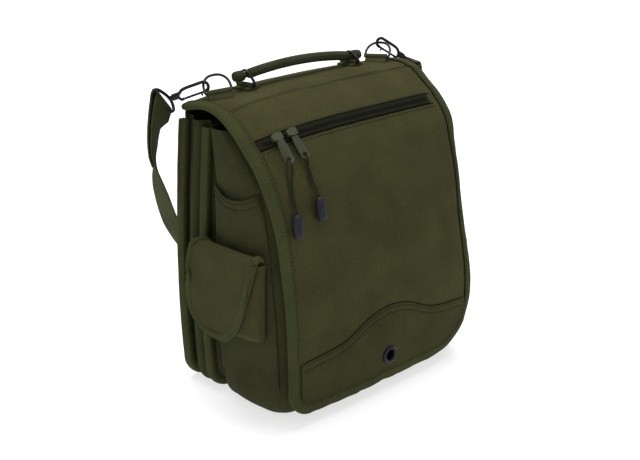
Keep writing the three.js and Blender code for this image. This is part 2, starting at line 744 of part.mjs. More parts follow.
function tabShape() {
  const shape = new THREE.Shape();
  const [half, round] = [TAB_WIDE / 2, 3];
  shape.moveTo(-half * 0.7, 0);
  shape.lineTo(half * 0.7, 0);
  shape.lineTo(half, -TAB_LONG * 0.35);
  shape.lineTo(half, -TAB_LONG + round);
  shape.lineTo(half - round, -TAB_LONG);
  shape.lineTo(round - half, -TAB_LONG);
  shape.lineTo(-half, -TAB_LONG + round);
  shape.lineTo(-half, -TAB_LONG * 0.35);
  const middle = V(0, TAB_HOLE + TAB_RIM - TAB_LONG, 0);
  const hole = circle(middle, V(1, 0, 0), V(0, 1, 0), TAB_HOLE, 10).map(({ x, y }) => new THREE.Vector2(x, y));
  shape.holes.push(new THREE.Path(hole));
  return shape;
}

// The tab's frame: down its length, across its width and out of its face.
function tabFrame({ x, lean, turn, height, fall }) {
  const start = ZIP_MIDDLE + SLIDER_WIDE / 2 + GAP;
  const top = onFlap(x, start, height);
  const end = flapPoint(x + lean, start + TAB_LONG, height - fall);
  const down = end.sub(top.point).normalize();
  const across = top.across.clone().addScaledVector(down, -top.across.dot(down)).normalize();
  across.applyAxisAngle(down, THREE.MathUtils.degToRad(turn));
  return { top: top.point, down, across, out: down.clone().cross(across) };
}

for (const pull of PULLS) {
  piece(`zip_slider_${pull.side}`, slider(pull.x), 'olive_metal');
  const { top, down, across, out } = tabFrame(pull);
  const tab = new THREE.ExtrudeGeometry(tabShape(), { depth: TAB_THICK, bevelEnabled: false, curveSegments: 5 });
  tab.translate(0, 0, -TAB_THICK / 2);
  tab.applyMatrix4(placed(top, across, down.clone().negate(), out));
  piece(`pull_tab_${pull.side}`, tab, 'olive_metal');
}

// Cord loops: places x across, s down the flap and the height over it, from the rubber end up to the
// tab's hole, through it along the given side, and back to the rubber end.
const CORD_ROUTES = {
  left: {
    up: [[-119.9, 239.8, 5.9], [-118.9, 234, 4.4], [-117.9, 226, 2.6], [-116.8, 217, 2], [-115.6, 208, 2],
      [-114.4, 200, 2.4], [-113.4, 193, 4.6]],
    through: -1,
    down: [[-106.6, 192, 4.2], [-108, 199, 2.6], [-111.6, 208, 2], [-113.8, 217, 2], [-115.4, 226, 2.6],
      [-116.6, 234, 4.4], [-117.5, 239.8, 5.9]],
  },
  right: {
    up: [[-89.6, 228.7, 5.9], [-90.4, 223, 4.4], [-90.9, 215, 2.4], [-91, 207, 2], [-90.6, 200, 3],
      [-89.6, 194, 7.4]],
    through: -1,
    down: [[-87.8, 192, 1.9], [-87.6, 199, 1.9], [-87.8, 207, 2], [-87.9, 215, 2.4], [-87.6, 223, 4.4],
      [-87.2, 228.7, 5.9]],
  },
};
const CORD_ENDS = {
  left: { x: -118.7, s: 240.2, lean: -2.2 },
  right: { x: -88.4, s: 229.1, lean: -1.4 },
};
const CORD_END_HEIGHT = 5.9;
for (const side of ['left', 'right']) {
  const { up, through, down } = CORD_ROUTES[side];
  const { top: tabTop, down: tabDown, out } = tabFrame(PULLS.find((pull) => pull.side === side));
  const hole = tabTop.clone().addScaledVector(tabDown, TAB_LONG - TAB_HOLE - TAB_RIM);
  const pass = [-CORD_PASS, 0, CORD_PASS].map((step) => hole.clone().addScaledVector(out, step * through));
  const lay = ([x, s, height]) => flapPoint(x, s, height);
  const route = new THREE.CatmullRomCurve3([...up.map(lay), ...pass, ...down.map(lay)]);
  const section = new THREE.Shape();
  circle(V(0, 0, 0), V(1, 0, 0), V(0, 1, 0), CORD_RADIUS, 8).forEach(({ x, y }, i) => (
    i === 0 ? section.moveTo(x, y) : section.lineTo(x, y)
  ));
  const steps = Math.round(route.getLength() / CORD_STEP);
  const cord = new THREE.ExtrudeGeometry(section, { extrudePath: route, steps, bevelEnabled: false });
  piece(`pull_cord_${side}`, cord, 'cord');
  const { x, s, lean } = CORD_ENDS[side];
  const top = flapPoint(x, s, CORD_END_HEIGHT);
  const low = flapPoint(x + lean, s + CORD_END_LONG, CORD_END_HEIGHT);
  const profile = [[0, 0], [0.55, 0], [0.8, 0.12], [1, 0.4], [1, 0.85], [0.8, 1], [0, 1]]
    .map(([r, h]) => new THREE.Vector2(r * CORD_END_RADIUS, h * CORD_END_LONG));
  const end = new THREE.LatheGeometry(profile, 10);
  const axis = low.sub(top).normalize();
  end.applyQuaternion(new THREE.Quaternion().setFromUnitVectors(V(0, 1, 0), axis));
  end.translate(top.x, top.y, top.z);
  piece(`cord_end_${side}`, end, 'rubber');
}

// The side panel's outer face at a share of the depth and a height; smooth leaves the folds out.
function sideFace(at, z) {
  const inset = look(FRONT_STRIP, 'at', at, 'fold') * FOLD_DEPTH + look(FRONT_STRIP, 'at', at, 'round') * FRONT_ROUND;
  return { x: halfAt(z) - inset, y: lerp(FRONT_BACK, frontAt(z), at) };
}
function smoothSide(y, z) {
  const at = (FRONT_BACK - y) / (FRONT_BACK - frontAt(z));
  return halfAt(z) - look(FRONT_STRIP, 'at', at, 'round') * FRONT_ROUND;
}

// Slip pockets: sewn at the bottom and both edges, standing off a little at the mouth.
const POCKET_COLUMNS = [0.2, 0.26, 0.33, 0.48, 0.62, 0.71, 0.8, 0.85, 0.9];
const POCKET_ROWS = [0, 0.2, 0.4, 0.6, 0.8, 0.92, 1];
const pocketAcross = (at) => (at - POCKET_COLUMNS[0]) / (POCKET_COLUMNS[POCKET_COLUMNS.length - 1] - POCKET_COLUMNS[0]);
const pocketHem = (at) => POCKET_HIGH + POCKET_SAG * (2 * pocketAcross(at) - 1) ** 2;
function pocketMouth(at, z) {
  const row = (z - POCKET_LOW) / (pocketHem(at) - POCKET_LOW);
  return POCKET_MOUTH * Math.sin(Math.PI * pocketAcross(at)) * row ** 3;
}
for (const [side, sign] of [['left', -1], ['right', 1]]) {
  piece(`side_pocket_${side}`, sheet(POCKET_ROWS, POCKET_COLUMNS, (row, at, back) => {
    const z = lerp(POCKET_LOW, pocketHem(at), row);
    const { x, y } = sideFace(at, z);
    return V(sign * (x + POCKET_SEAM + pocketMouth(at, z) + (back ? 0 : POCKET_THICK)), y, z);
  }), 'canvas');
}

// Pouch on the left side: a rounded box open at the top, shaped to the panel behind it.
const POUCH_BACK = POCKET_SEAM + POCKET_THICK + GAP + 1.4;
const pouchFront = (y, share) => (
  POUCH_FRONT + POUCH_SKEW * (y - POUCH_MIDDLE) + POUCH_BULGE * (1 - share ** 2)
);
function pouchRing(z, inset) {
  const ring = [];
  const half = POUCH_HALF - inset;
  const columns = [-1, -0.86, -0.7, -0.45, -0.15, 0.15, 0.45, 0.75, 1];
  for (const share of columns) {
    const y = POUCH_MIDDLE + share * half;
    const at = (FRONT_BACK - y) / (FRONT_BACK - frontAt(z));
    ring.push(V(-(smoothSide(y, z) + POUCH_BACK + pocketMouth(at, z) + inset), y, z));
  }
  const round = Math.max(POUCH_ROUND - inset, 3);
  for (const share of [...columns].reverse()) {
    const y = POUCH_MIDDLE + share * half;
    const out = Math.max(0, Math.abs(share) * half - (half - round)) / round;
    const drop = POUCH_DROP * (1 - Math.sqrt(1 - Math.min(1, out) ** 2));
    ring.push(V(-(pouchFront(y, share) - inset - drop), y, z));
  }
  return ring;
}
const POUCH_LEVELS = [
  { up: 0, inset: 8 },
  { up: 0.035, inset: 3 },
  { up: 0.1, inset: 0 },
  { up: 0.4, inset: 0 },
  { up: 0.7, inset: 0 },
  { up: 1, inset: 0 },
];
function pouchBody() {
  const faces = new Faces();
  const level = (up) => lerp(POUCH_LOW, POUCH_HIGH, up);
  const outer = POUCH_LEVELS.map(({ up, inset }) => pouchRing(level(up), inset));
  const floor = POUCH_LOW + CANVAS;
  const inner = POUCH_LEVELS.slice(2).map(({ up, inset }) => pouchRing(level(up), inset + CANVAS));
  const base = pouchRing(floor, CANVAS + 4);
  faces.grid([...outer, ...inner.reverse(), base], true);
  faces.fan(outer[0]);
  faces.fan(base);
  return faces.solid();
}
piece('pouch_body', pouchBody(), 'canvas');

// The pouch's flap: out, up and along say where each row lies; left and right are its edges along Y.
const POUCH_FLAP = [
  { out: -8.5, z: 183.5, left: 26, right: -57 },
  { out: -4.5, z: 187, left: 29, right: -59 },
  { out: 2, z: 187.5, left: 32, right: -61 },
  { out: 6, z: 184.5, left: 34, right: -61 },
  { out: 7.6, z: 178, left: 36, right: -60 },
  { out: 8.2, z: 166, left: 39, right: -57 },
  { out: 8.6, z: 150, left: 41.5, right: -52 },
  { out: 9.2, z: 130, left: 42, right: -46 },
  { out: 9.2, z: 113, left: 38.5, right: -40 },
  { out: 8.8, z: 101, left: 29, right: -31 },
  { out: 8.4, z: 94, left: 18, right: -22 },
  { out: 8.2, z: 90, left: 5, right: -11 },
];
const POUCH_FLAP_COLUMNS = [0, 0.1, 0.3, 0.5, 0.7, 0.9, 1];
function pouchFlapPoint(row, share, height) {
  const level = THREE.MathUtils.clamp(row, 0, POUCH_FLAP.length - 1);
  const i = Math.min(Math.floor(level), POUCH_FLAP.length - 2);
  const mix = (key) => lerp(POUCH_FLAP[i][key], POUCH_FLAP[i + 1][key], level - i);
  const y = lerp(mix('left'), mix('right'), share);
  const across = (y - POUCH_MIDDLE) / (POUCH_HALF + 10);
  const x = POUCH_FRONT + POUCH_SKEW * (y - POUCH_MIDDLE) + mix('out') - POUCH_BULGE * 0.8 * across ** 2;
  const [a, b] = [POUCH_FLAP[i], POUCH_FLAP[i + 1]];
  const long = Math.hypot(b.out - a.out, b.z - a.z);
  const [nx, nz] = [-(b.z - a.z) / long, (b.out - a.out) / long];
  return V(-(x + nx * height), y, mix('z') + nz * height);
}
const pouchRows = POUCH_FLAP.map((_, i) => i);
function pouchFlapCorner(row, share, back) {
  if (!back) {
    return pouchFlapPoint(row, share, 0);
  }
  const low = pouchFlapPoint(Math.max(row - 0.001, 0), share, -POUCH_FLAP_THICK);
  const high = pouchFlapPoint(Math.min(row + 0.001, POUCH_FLAP.length - 1), share, -POUCH_FLAP_THICK);
  return low.lerp(high, 0.5);
}
piece('pouch_flap', sheet(pouchRows, POUCH_FLAP_COLUMNS, pouchFlapCorner), 'canvas');

// A strap folded round a wire and laid flat: tails point along X, the wire runs along Z at the origin.
function foldedStrap(radius, tails, long, wireRadius) {
  const shape = new THREE.Shape();
  const meet = Math.asin((radius - TAB_CLOTH) / radius);
  shape.moveTo(tails.front, -radius);
  if (tails.back > 0) {
    shape.lineTo(-tails.back, -radius);
    shape.lineTo(-tails.back, TAB_CLOTH - radius);
  }
  const from = tails.back > 0 ? Math.PI + meet : 1.5 * Math.PI;
  for (const share of spread(9)) {
    const turn = lerp(from, -meet, share);
    shape.lineTo(radius * Math.cos(turn), radius * Math.sin(turn));
  }
  shape.lineTo(tails.front, TAB_CLOTH - radius);
  const hole = circle(V(0, 0, 0), V(1, 0, 0), V(0, 1, 0), wireRadius + WIRE_ROOM, 8);
  shape.holes.push(new THREE.Path(hole.map(({ x, y }) => new THREE.Vector2(x, y))));
  const strap = new THREE.ExtrudeGeometry(shape, { depth: long, bevelEnabled: false });
  strap.translate(0, 0, -long / 2);
  return strap;
}

// A closed wire whose points are given across and up, as shares of a half width and a height.
function wireRing(points, half, rise, radius, { centre, along, up }) {
  const curve = new THREE.CatmullRomCurve3(points.map(([out, high]) => (
    centre.clone().addScaledVector(along, out * half).addScaledVector(up, high * rise)
  )), true, 'centripetal');
  return wire(curve, radius, along.clone().cross(up).normalize(), 22);
}
const mirroredRing = (half) => [...half, ...half.slice(1, -1).reverse().map(([out, high]) => [-out, high])];

// Carrying handle: a padded grip whose ends pass through two wire rings and are held by thick stops.
const GRIP = [
  { along: -1.21, radius: 0.6, part: STOP_RADIUS },
  { along: -1.195, radius: 0.9, part: STOP_RADIUS },
  { along: -1.15, radius: 1, part: STOP_RADIUS },
  { along: -1.055, radius: 1, part: STOP_RADIUS },
  { along: -1.042, radius: 1, part: NECK_RADIUS },
  { along: -0.958, radius: 1, part: NECK_RADIUS },
  { along: -0.945, radius: 0.97, part: GRIP_RADIUS },
  { along: -0.86, radius: 1, part: GRIP_RADIUS },
  { along: -0.66, radius: 1, part: GRIP_RADIUS },
  { along: -0.4, radius: 1, part: GRIP_RADIUS },
  { along: -0.13, radius: 1, part: GRIP_RADIUS },
];
const gripRows = [...GRIP, ...[...GRIP].reverse().map((row) => ({ ...row, along: -row.along }))];
const handleY = flapFace(0, HANDLE_DOWN).y + HANDLE_LEAN;
function gripCentre(along) {
  const z = lerp(HANDLE_LEFT_Z, HANDLE_RIGHT_Z, (along + 1) / 2) + HANDLE_RISE * (1 - Math.min(1, along ** 2));
  return V(along * HANDLE_HALF, handleY, z);
}
piece('handle_grip', tube(gripRows.map(({ along, radius, part }) => (
  circle(gripCentre(along), V(0, 1, 0), V(0, 0, 1), radius * part, 8)
))), 'binding');
for (const [side, sign] of [['left', -1], ['right', 1]]) {
  const seat = onFlap(sign * HANDLE_HALF, HANDLE_DOWN);
  const centre = seat.point.clone().addScaledVector(seat.normal, GAP + HANDLE_TAB_RADIUS);
  const tab = foldedStrap(HANDLE_TAB_RADIUS, { front: HANDLE_TAB_TAIL, back: HANDLE_TAB_TAIL }, HANDLE_TAB_LONG,
    HANDLE_WIRE);
  tab.applyMatrix4(placed(centre, seat.across, seat.normal, seat.across.clone().cross(seat.normal)));
  piece(`handle_tab_${side}`, tab, 'webbing');
  const neck = gripCentre(sign);
  const rise = neck.z - centre.z + NECK_RADIUS + HANDLE_WIRE + GAP;
  const round = (NECK_RADIUS + HANDLE_WIRE + GAP) / HANDLE_RING_HALF;
  const shape = mirroredRing([[0, 0], [0.5, 0], [0.86, 0], [0.95, 0.02], [1, 0.14], [0.88, 0.36],
    [round * 1.3, 0.84], [round * 0.75, 0.97], [0, 1.03]]);
  const along = seat.down.clone().setX(0).normalize();
  const place = { centre, along, up: along.clone().cross(V(1, 0, 0)) };
  piece(`handle_ring_${side}`, wireRing(shape, HANDLE_RING_HALF, rise, HANDLE_WIRE, place), 'metal');
}

// D-rings and hooks: seat is the bar's place on the flap (x, s), bar the bar's direction, lean how far
// the ring leans from upright, hold the hook's place on the ring as shares of RING_HALF and RING_RISE,
// aim the hook's direction from barrel to nose.
const RING_SHAPE = mirroredRing([[0, 0], [0.6, 0], [0.93, 0.01], [1, 0.1], [1, 0.25], [0.97, 0.5], [0.8, 0.76],
  [0.45, 0.95], [0, 1]]);
const HANGERS = {
  left: { seat: [-113, 66.3], bar: [0.883, -0.469, 0], lean: 50, hold: [-0.975, 0.46],
    aim: [0.65, -0.677, 0.343], up: [-0.194, 0.262, 0.946], eye: [0.667, 0.293, -0.686] },
  right: { seat: [113, 71.3], bar: [0.5, -0.866, 0], lean: 54, hold: [0.05, 1],
    aim: [-0.78, 0.3, 0.55], up: [0.52, -0.1, 0.85], eye: [0.34, 0.935, -0.03] },
};

function joined(parts) {
  return fromManifold(parts.map(asManifold).reduce((whole, next) => whole.add(next)));
}

// A round rod through points that are given in the hook's own plane, along and up.
function rod(points, radius, sides = 8) {
  const places = points.map(([p, q]) => V(p, q, 0));
  const rings = places.map((point, i) => {
    const before = places[Math.max(i - 1, 0)];
    const after = places[Math.min(i + 1, places.length - 1)];
    const across = after.clone().sub(before).normalize().cross(V(0, 0, 1));
    return circle(point, across, V(0, 0, 1), radius, sides);
  });
  return tube(rings);
}

// The hook's bow from the barrel over the top and round the nose, and the short arm that holds the gate.
function hookBody() {
  const bow = [[0, 1], [4, 1.5], [8, 4], [12, 4.8], [HOOK_LONG - 6, HOOK_HALF]];
  for (const share of spread(6)) {
    const turn = lerp(Math.PI / 2, -Math.PI / 2, share);
    bow.push([HOOK_LONG + HOOK_HALF * Math.cos(turn), HOOK_HALF * Math.sin(turn)]);
  }
  bow.push([HOOK_LONG - 1.4, -HOOK_HALF]);
  const arm = [[0, -1], [2.4, -2], [4.8, -HOOK_HALF], [GATE_HINGE - GATE_TAIL - GAP, -HOOK_HALF]];
  const barrel = new THREE.CylinderGeometry(BARREL_RADIUS, BARREL_RADIUS, 2 * BARREL_HALF, 10);
  barrel.rotateZ(Math.PI / 2);
  return joined([barrel, rod(bow, HOOK_WIRE), rod(arm, HOOK_WIRE)]);
}
function hookGate() {
  const end = HOOK_LONG - 1.4 - GAP;
  const bar = rod([[GATE_HINGE - GATE_TAIL, -HOOK_HALF], [end / 2, -HOOK_HALF], [end, -HOOK_HALF]], GATE_WIRE);
  const nub = new THREE.BoxGeometry(2, GATE_NUB, 1.8);
  nub.translate(end - 2.4, -HOOK_HALF - GATE_NUB / 2, 0);
  return joined([bar, nub]);
}

// The swivel eye: a wire loop as wide as the strap on a short stem behind the barrel.
const EYE_SHAPE = [[0, 0], [0.5, 0], [0.91, 0], [1, 0.1], [1, 0.32], [0.96, 0.5], [0.68, 0.76], [0.3, 0.95], [0, 1]];
function swivelEye() {
  const stemStart = BARREL_HALF + GAP;
  const rise = EYE_DROP - stemStart - EYE_WIRE - 0.8;
  const loop = wireRing(mirroredRing(EYE_SHAPE), EYE_HALF, rise, EYE_WIRE,
    { centre: V(-EYE_DROP, 0, 0), along: V(0, 0, 1), up: V(1, 0, 0) });
  const stem = new THREE.CylinderGeometry(2.4, 2.4, 3, 8);
  stem.rotateZ(Math.PI / 2);
  stem.translate(-stemStart - 1.5, 0, 0);
  return joined([loop, stem]);
}

const eyes = {};
for (const side of ['left', 'right']) {
  const hanger = HANGERS[side];
  const [x, s] = hanger.seat;
  const seat = onFlap(x, s);
  const along = V(...hanger.bar).addScaledVector(seat.normal, -V(...hanger.bar).dot(seat.normal)).normalize();
  const centre = seat.point.clone().addScaledVector(seat.normal, GAP + RING_TAB_RADIUS + 0.2);
  const back = along.clone().cross(seat.normal).normalize().multiplyScalar(-1);
  const lean = THREE.MathUtils.degToRad(hanger.lean);
  const up = back.clone().multiplyScalar(Math.sin(lean)).addScaledVector(V(0, 0, 1), Math.cos(lean));
  up.addScaledVector(along, -up.dot(along)).normalize();
  const tab = foldedStrap(RING_TAB_RADIUS, { front: RING_TAB_TAIL, back: 0 }, RING_TAB_LONG, RING_WIRE);
  tab.applyMatrix4(placed(centre, back, seat.normal, back.clone().cross(seat.normal)));
  piece(`strap_ring_tab_${side}`, tab, 'webbing');
  piece(`strap_ring_${side}`, wireRing(RING_SHAPE, RING_HALF, RING_RISE, RING_WIRE, { centre, along, up }), 'metal');
  const aim = V(...hanger.aim).normalize();
  const rise = V(...hanger.up).addScaledVector(aim, -V(...hanger.up).dot(aim)).normalize();
  const [out, high] = hanger.hold;
  const hold = centre.clone().addScaledVector(along, out * RING_HALF).addScaledVector(up, high * RING_RISE);
  const barrel = hold.addScaledVector(aim, -HOOK_LONG);
  const place = placed(barrel, aim, rise, aim.clone().cross(rise));
  const hook = hookBody();
  hook.applyMatrix4(place);
  piece(`snap_hook_${side}`, hook, 'metal');
  const gate = hookGate();
  gate.applyMatrix4(place);
  piece(`hook_gate_${side}`, gate, 'metal');
  const bar = V(...hanger.eye).addScaledVector(aim, -V(...hanger.eye).dot(aim)).normalize();
  const swivel = swivelEye();
  swivel.applyMatrix4(placed(barrel, aim, bar.clone().cross(aim), bar));
  piece(`hook_swivel_${side}`, swivel, 'metal');
  eyes[side] = { centre: barrel.clone().addScaledVector(aim, -EYE_DROP), bar, aim };
}

// Shoulder strap: one webbing from the left swivel round behind the bag to the right swivel. The rows
// give the middle of the webbing and the direction of its width; each end turns back round its bar.
const STRAP_MAIN = [
  { at: [-158.5, 91, 305], width: [0.72, 0.36, -0.6] },
  { at: [-161, 98, 286], width: [0.76, 0.64, -0.1] },
  { at: [-159.5, 104, 262], width: [0.69, 0.72, 0] },
  { at: [-156, 107, 240], width: [0.45, 0.89, 0] },
  { at: [-150, 110, 217], width: [0.2, 0.98, 0] },
  { at: [-137, 114, 181], width: [0.08, 1, 0] },
  { at: [-123, 116, 155], width: [0, 1, 0] },
  { at: [-95, 117, 118], width: [0, 1, 0] },
  { at: [-50, 117, 88], width: [0, 1, 0] },
  { at: [0, 117, 78], width: [0, 1, 0] },
  { at: [50, 117, 88], width: [0, 1, 0] },
  { at: [95, 117, 118], width: [0, 1, 0] },
  { at: [123, 116, 155], width: [0, 1, 0] },
  { at: [137, 114, 181], width: [-0.08, 1, 0] },
  { at: [152, 106, 215], width: [-0.2, 0.98, 0] },
  { at: [163, 86, 245], width: [-0.2, 0.98, 0] },
  { at: [171, 62, 275], width: [0.1, 0.99, 0] },
  { at: [176, 45.5, 298], width: [0.32, 0.94, 0] },
];
// How far each turned-back end lies from the main run, row by row from the bar to the free end.
const END_GAPS = { left: [5.4, 4.6, 3.9, 3.4, 3.1, 2.9], right: [5.4, 4.4, 3.6, 3.1, 2.9] };
const TURN_RADIUS = EYE_WIRE + GAP + 0.2 + WEBBING_THICK / 2;

// The turn round a swivel bar, from the outer layer over the bar to the inner one.
function turnRound({ centre, bar, aim }, next) {
  const away = V(...next).sub(centre);
  away.addScaledVector(bar, -away.dot(bar)).normalize();
  const outer = away.clone().cross(bar).normalize();
  return spread(6).map((share) => {
    const turn = Math.PI * share;
    const point = centre.clone().addScaledVector(outer, TURN_RADIUS * Math.cos(turn));
    return { point: point.addScaledVector(away, -TURN_RADIUS * Math.sin(turn)), width: bar };
  });
}
const asRow = ({ at, width }) => ({ point: V(...at), width: V(...width) });
const leftTurn = turnRound(eyes.left, STRAP_MAIN[0].at);
const rightTurn = turnRound(eyes.right, STRAP_MAIN[STRAP_MAIN.length - 1].at);
const strapMain = [leftTurn[0], ...STRAP_MAIN.map(asRow), rightTurn[0]];
const mainCurve = new THREE.CatmullRomCurve3(strapMain.map(({ point }) => point));
const STRAP_STEPS = 2 * (strapMain.length - 1);
const mainRows = spread(STRAP_STEPS).slice(1, -1).map((share) => {
  const at = share * (strapMain.length - 1);
  const i = Math.min(Math.floor(at), strapMain.length - 2);
  const width = strapMain[i].width.clone().lerp(strapMain[i + 1].width, at - i);
  return { point: mainCurve.getPoint(share), width };
});
// An end turned back: rows beside the main run's own rows, nearest the bar first.
function turnedEnd(rows, gaps, turn) {
  const side = turn[turn.length - 1].point.clone().sub(turn[0].point);
  return gaps.map((gap, i) => {
    const { point, width } = rows[i + 1];
    const along = rows[i + 2].point.clone().sub(rows[i].point).normalize();
    const face = along.cross(width).normalize();
    const way = Math.sign(face.dot(side));
    return { point: point.clone().addScaledVector(face, way * gap), width };
  });
}
const strapRows = [
  ...turnedEnd(mainRows, END_GAPS.left, leftTurn).reverse(), ...[...leftTurn].reverse(), ...mainRows,
  ...rightTurn, ...turnedEnd([...mainRows].reverse(), END_GAPS.right, rightTurn),
];
const strapRings = strapRows.map(({ point, width }, i) => {
  const before = strapRows[Math.max(i - 1, 0)].point;
  const after = strapRows[Math.min(i + 1, strapRows.length - 1)].point;
  const along = after.clone().sub(before).normalize();
  const across = width.clone().normalize();
  const face = along.clone().cross(across).normalize();
  const corner = (side, out) => point.clone().addScaledVector(across, (side * WEBBING_WIDE) / 2)
    .addScaledVector(face, (out * WEBBING_THICK) / 2);
  return [corner(-1, -1), corner(1, -1), corner(1, 1), corner(-1, 1)];
});
piece('shoulder_strap', tube(strapRings), 'webbing');

export default bag;
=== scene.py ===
"""A canvas field bag: the soft pieces, hardware and stitching that replace the plain CAD solids.

All sizes are in millimetres until a mesh is made, in the CAD model's frame: +Z up, front towards -Y.
"""
import math

import bpy
import mathutils
import numpy as np
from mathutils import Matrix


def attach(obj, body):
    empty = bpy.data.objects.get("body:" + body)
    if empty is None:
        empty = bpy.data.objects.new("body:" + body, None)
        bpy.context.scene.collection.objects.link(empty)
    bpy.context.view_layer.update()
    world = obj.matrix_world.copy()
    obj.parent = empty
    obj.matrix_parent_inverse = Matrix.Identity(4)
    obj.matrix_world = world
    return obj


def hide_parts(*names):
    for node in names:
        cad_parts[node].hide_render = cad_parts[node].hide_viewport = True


bl_info = {
    "name": "Field bag",
    "version": (1, 0, 0),
    "blender": (4, 5, 0),
    "location": "View3D > Sidebar > Bag",
    "description": "Builds a canvas field bag over its CAD frame",
    "category": "Object",
}

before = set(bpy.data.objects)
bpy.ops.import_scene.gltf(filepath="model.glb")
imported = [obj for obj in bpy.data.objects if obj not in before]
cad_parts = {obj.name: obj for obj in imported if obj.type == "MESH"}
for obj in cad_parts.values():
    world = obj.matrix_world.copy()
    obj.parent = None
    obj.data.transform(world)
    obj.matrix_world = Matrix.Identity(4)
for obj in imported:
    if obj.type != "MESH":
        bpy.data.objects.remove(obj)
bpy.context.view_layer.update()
MM = 0.001

# Body
BODY_WIDTH = 296
BODY_DEPTH = 165
BACK_FACE = 87.6
REAR_RIM = 301.5
FRONT_RIM = 299
REAR_DEPTH = 42.3
FOLD_DEPTH = 13
FRONT_ROUND = 28
FRONT_LIFT = 26
CORNER = 26
REAR_FRONT = BACK_FACE - REAR_DEPTH
FRONT_BACK = REAR_FRONT - 0.6
REAR_BINDING_Y = BACK_FACE - 12.4 / 2 + 3
MIDDLE_BINDING_Y = REAR_FRONT + 0.4

# Flap
FLAP_WIDTH = 280
FLAP_TOP = 327.5
FLAP_REACH = 177.5
FLAP_CROWN = 20
HALF_FLAP = FLAP_WIDTH / 2
HEM_HALF = 128
HEM = 18
CORNER_LEFT = 28
CORNER_RIGHT = 58
TAPE_WIDTH = 11
TAPE_START = 30
ZIP_MIDDLE = 159
ZIP_LEFT, ZIP_RIGHT = -127, 114
EYELET_UP = 29.2

# Height share, half-width share and how far the front stands back, as in the CAD model.
LEVELS = np.array([
    (0.0, 0.966, 0.012), (0.13, 0.983, 0.005), (0.26, 0.997, 0.0), (0.4, 1.0, 0.015),
    (0.49, 0.999, 0.039), (0.585, 0.993, 0.064), (0.675, 0.985, 0.1), (0.757, 0.975, 0.152),
    (0.83, 0.965, 0.227), (0.895, 0.954, 0.33), (0.947, 0.945, 0.43), (1.0, 0.934, 0.54),
])
# Share of the depth, fold as a share of FOLD_DEPTH, round as a share of FRONT_ROUND and FRONT_LIFT.
REAR_STRIP = np.array([
    (0, 0.7, 0), (0.27, 0.7, 0), (0.42, 0.25, 0), (0.6, 0, 0), (0.75, 0.25, 0), (0.83, 0.7, 0), (1, 0.7, 0),
])
FRONT_STRIP = np.array([
    (0, 0.7, 0), (0.055, 0.7, 0), (0.09, 1, 0), (0.145, 1, 0), (0.2, 0.3, 0), (0.33, 0, 0),
    (0.62, -0.07, 0), (0.8, 0, 0.08), (0.9, 0, 0.28), (0.965, 0, 0.6), (1, 0, 1),
])
# Reach as a share of FLAP_REACH, height of FLAP_TOP, left and right falls of FLAP_CROWN.
FLAP_LINE = np.array([
    (0.0, 0.879, 0, 0), (0.0, 0.934, 0.05, 0.05), (0.039, 0.9756, 0.45, 0.3), (0.141, 0.994, 0.5, 0.25),
    (0.27, 1.0, 0.45, 0.15), (0.383, 0.9985, 0.6, 0.1), (0.468, 0.9887, 0.75, 0.15),
    (0.575, 0.9618, 0.9, 0.35), (0.682, 0.9176, 1.0, 0.35), (0.786, 0.852, 0.9, 0.4),
    (0.87, 0.763, 0.75, 0.8), (0.93, 0.65, 0.5, 0.9), (0.969, 0.525, 0.45, 0.9),
    (0.992, 0.391, 0.325, 0.6), (1.0, 0.25, 0.25, 0.3), (0.997, 0.128, 0.2, 0.45), (0.986, 0.04, 0.15, 0.6),
])
FLAP_ROWS = np.column_stack([
    BACK_FACE + 2.4 - FLAP_LINE[:, 0] * FLAP_REACH, FLAP_LINE[:, 1] * FLAP_TOP,
    FLAP_LINE[:, 2] * FLAP_CROWN, FLAP_LINE[:, 3] * FLAP_CROWN,
])
FLAP_STOPS = np.concatenate([[0], np.cumsum(np.hypot(*np.diff(FLAP_ROWS[:, :2], axis=0).T))])
FLAP_LONG = FLAP_STOPS[-1]


# Surfaces
def smooth_rows(t, rows, stops):
    """Cubic Hermite through the rows: p(u) = h00 p0 + h10 d m0 + h01 p1 + h11 d m1, where d is the
    distance between stops and m the slope from both neighbours."""
    step = np.diff(stops)
    chord = np.diff(rows, axis=0) / step[:, None]
    slope = np.vstack([chord[:1], rows[1:-1], chord[-1:]])
    slope[1:-1] = (chord[1:] * step[:-1, None] + chord[:-1] * step[1:, None]) / (step[1:] + step[:-1])[:, None]
    i = np.clip(np.searchsorted(stops, t, side="right") - 1, 0, len(stops) - 2)
    u = ((t - stops[i]) / step[i])[..., None]
    d = step[i][..., None]
    return (
        (2 * u**3 - 3 * u**2 + 1) * rows[i] + (u**3 - 2 * u**2 + u) * d * slope[i]
        + (3 * u**2 - 2 * u**3) * rows[i + 1] + (u**3 - u**2) * d * slope[i + 1]
    )


def unit(v):
    return v / np.maximum(np.linalg.norm(v, axis=-1, keepdims=True), 1e-12)


def flap_face(x, s):
    """Outer face: the middle line (y, z)(s), less a fall along its normal, where w = |x| / half and
    fall = rise * (0.72 w^2.6 + 0.28 ((w - 0.86) / 0.14)^1.5)."""
    x, s = np.broadcast_arrays(np.asarray(x, float), np.asarray(s, float))
    line = smooth_rows(s, FLAP_ROWS, FLAP_STOPS)
    ahead = smooth_rows(s + 0.5, FLAP_ROWS, FLAP_STOPS) - smooth_rows(s - 0.5, FLAP_ROWS, FLAP_STOPS)
    d = unit(ahead[..., :2])
    w = np.abs(x) / HALF_FLAP
    rise = np.where(x < 0, line[..., 2], line[..., 3])
    fall = rise * (0.72 * w**2.6 + 0.28 * np.clip((w - 0.86) / 0.14, 0, None) ** 1.5)
    return np.stack([x, line[..., 0] - d[..., 1] * fall, line[..., 1] + d[..., 0] * fall], axis=-1)


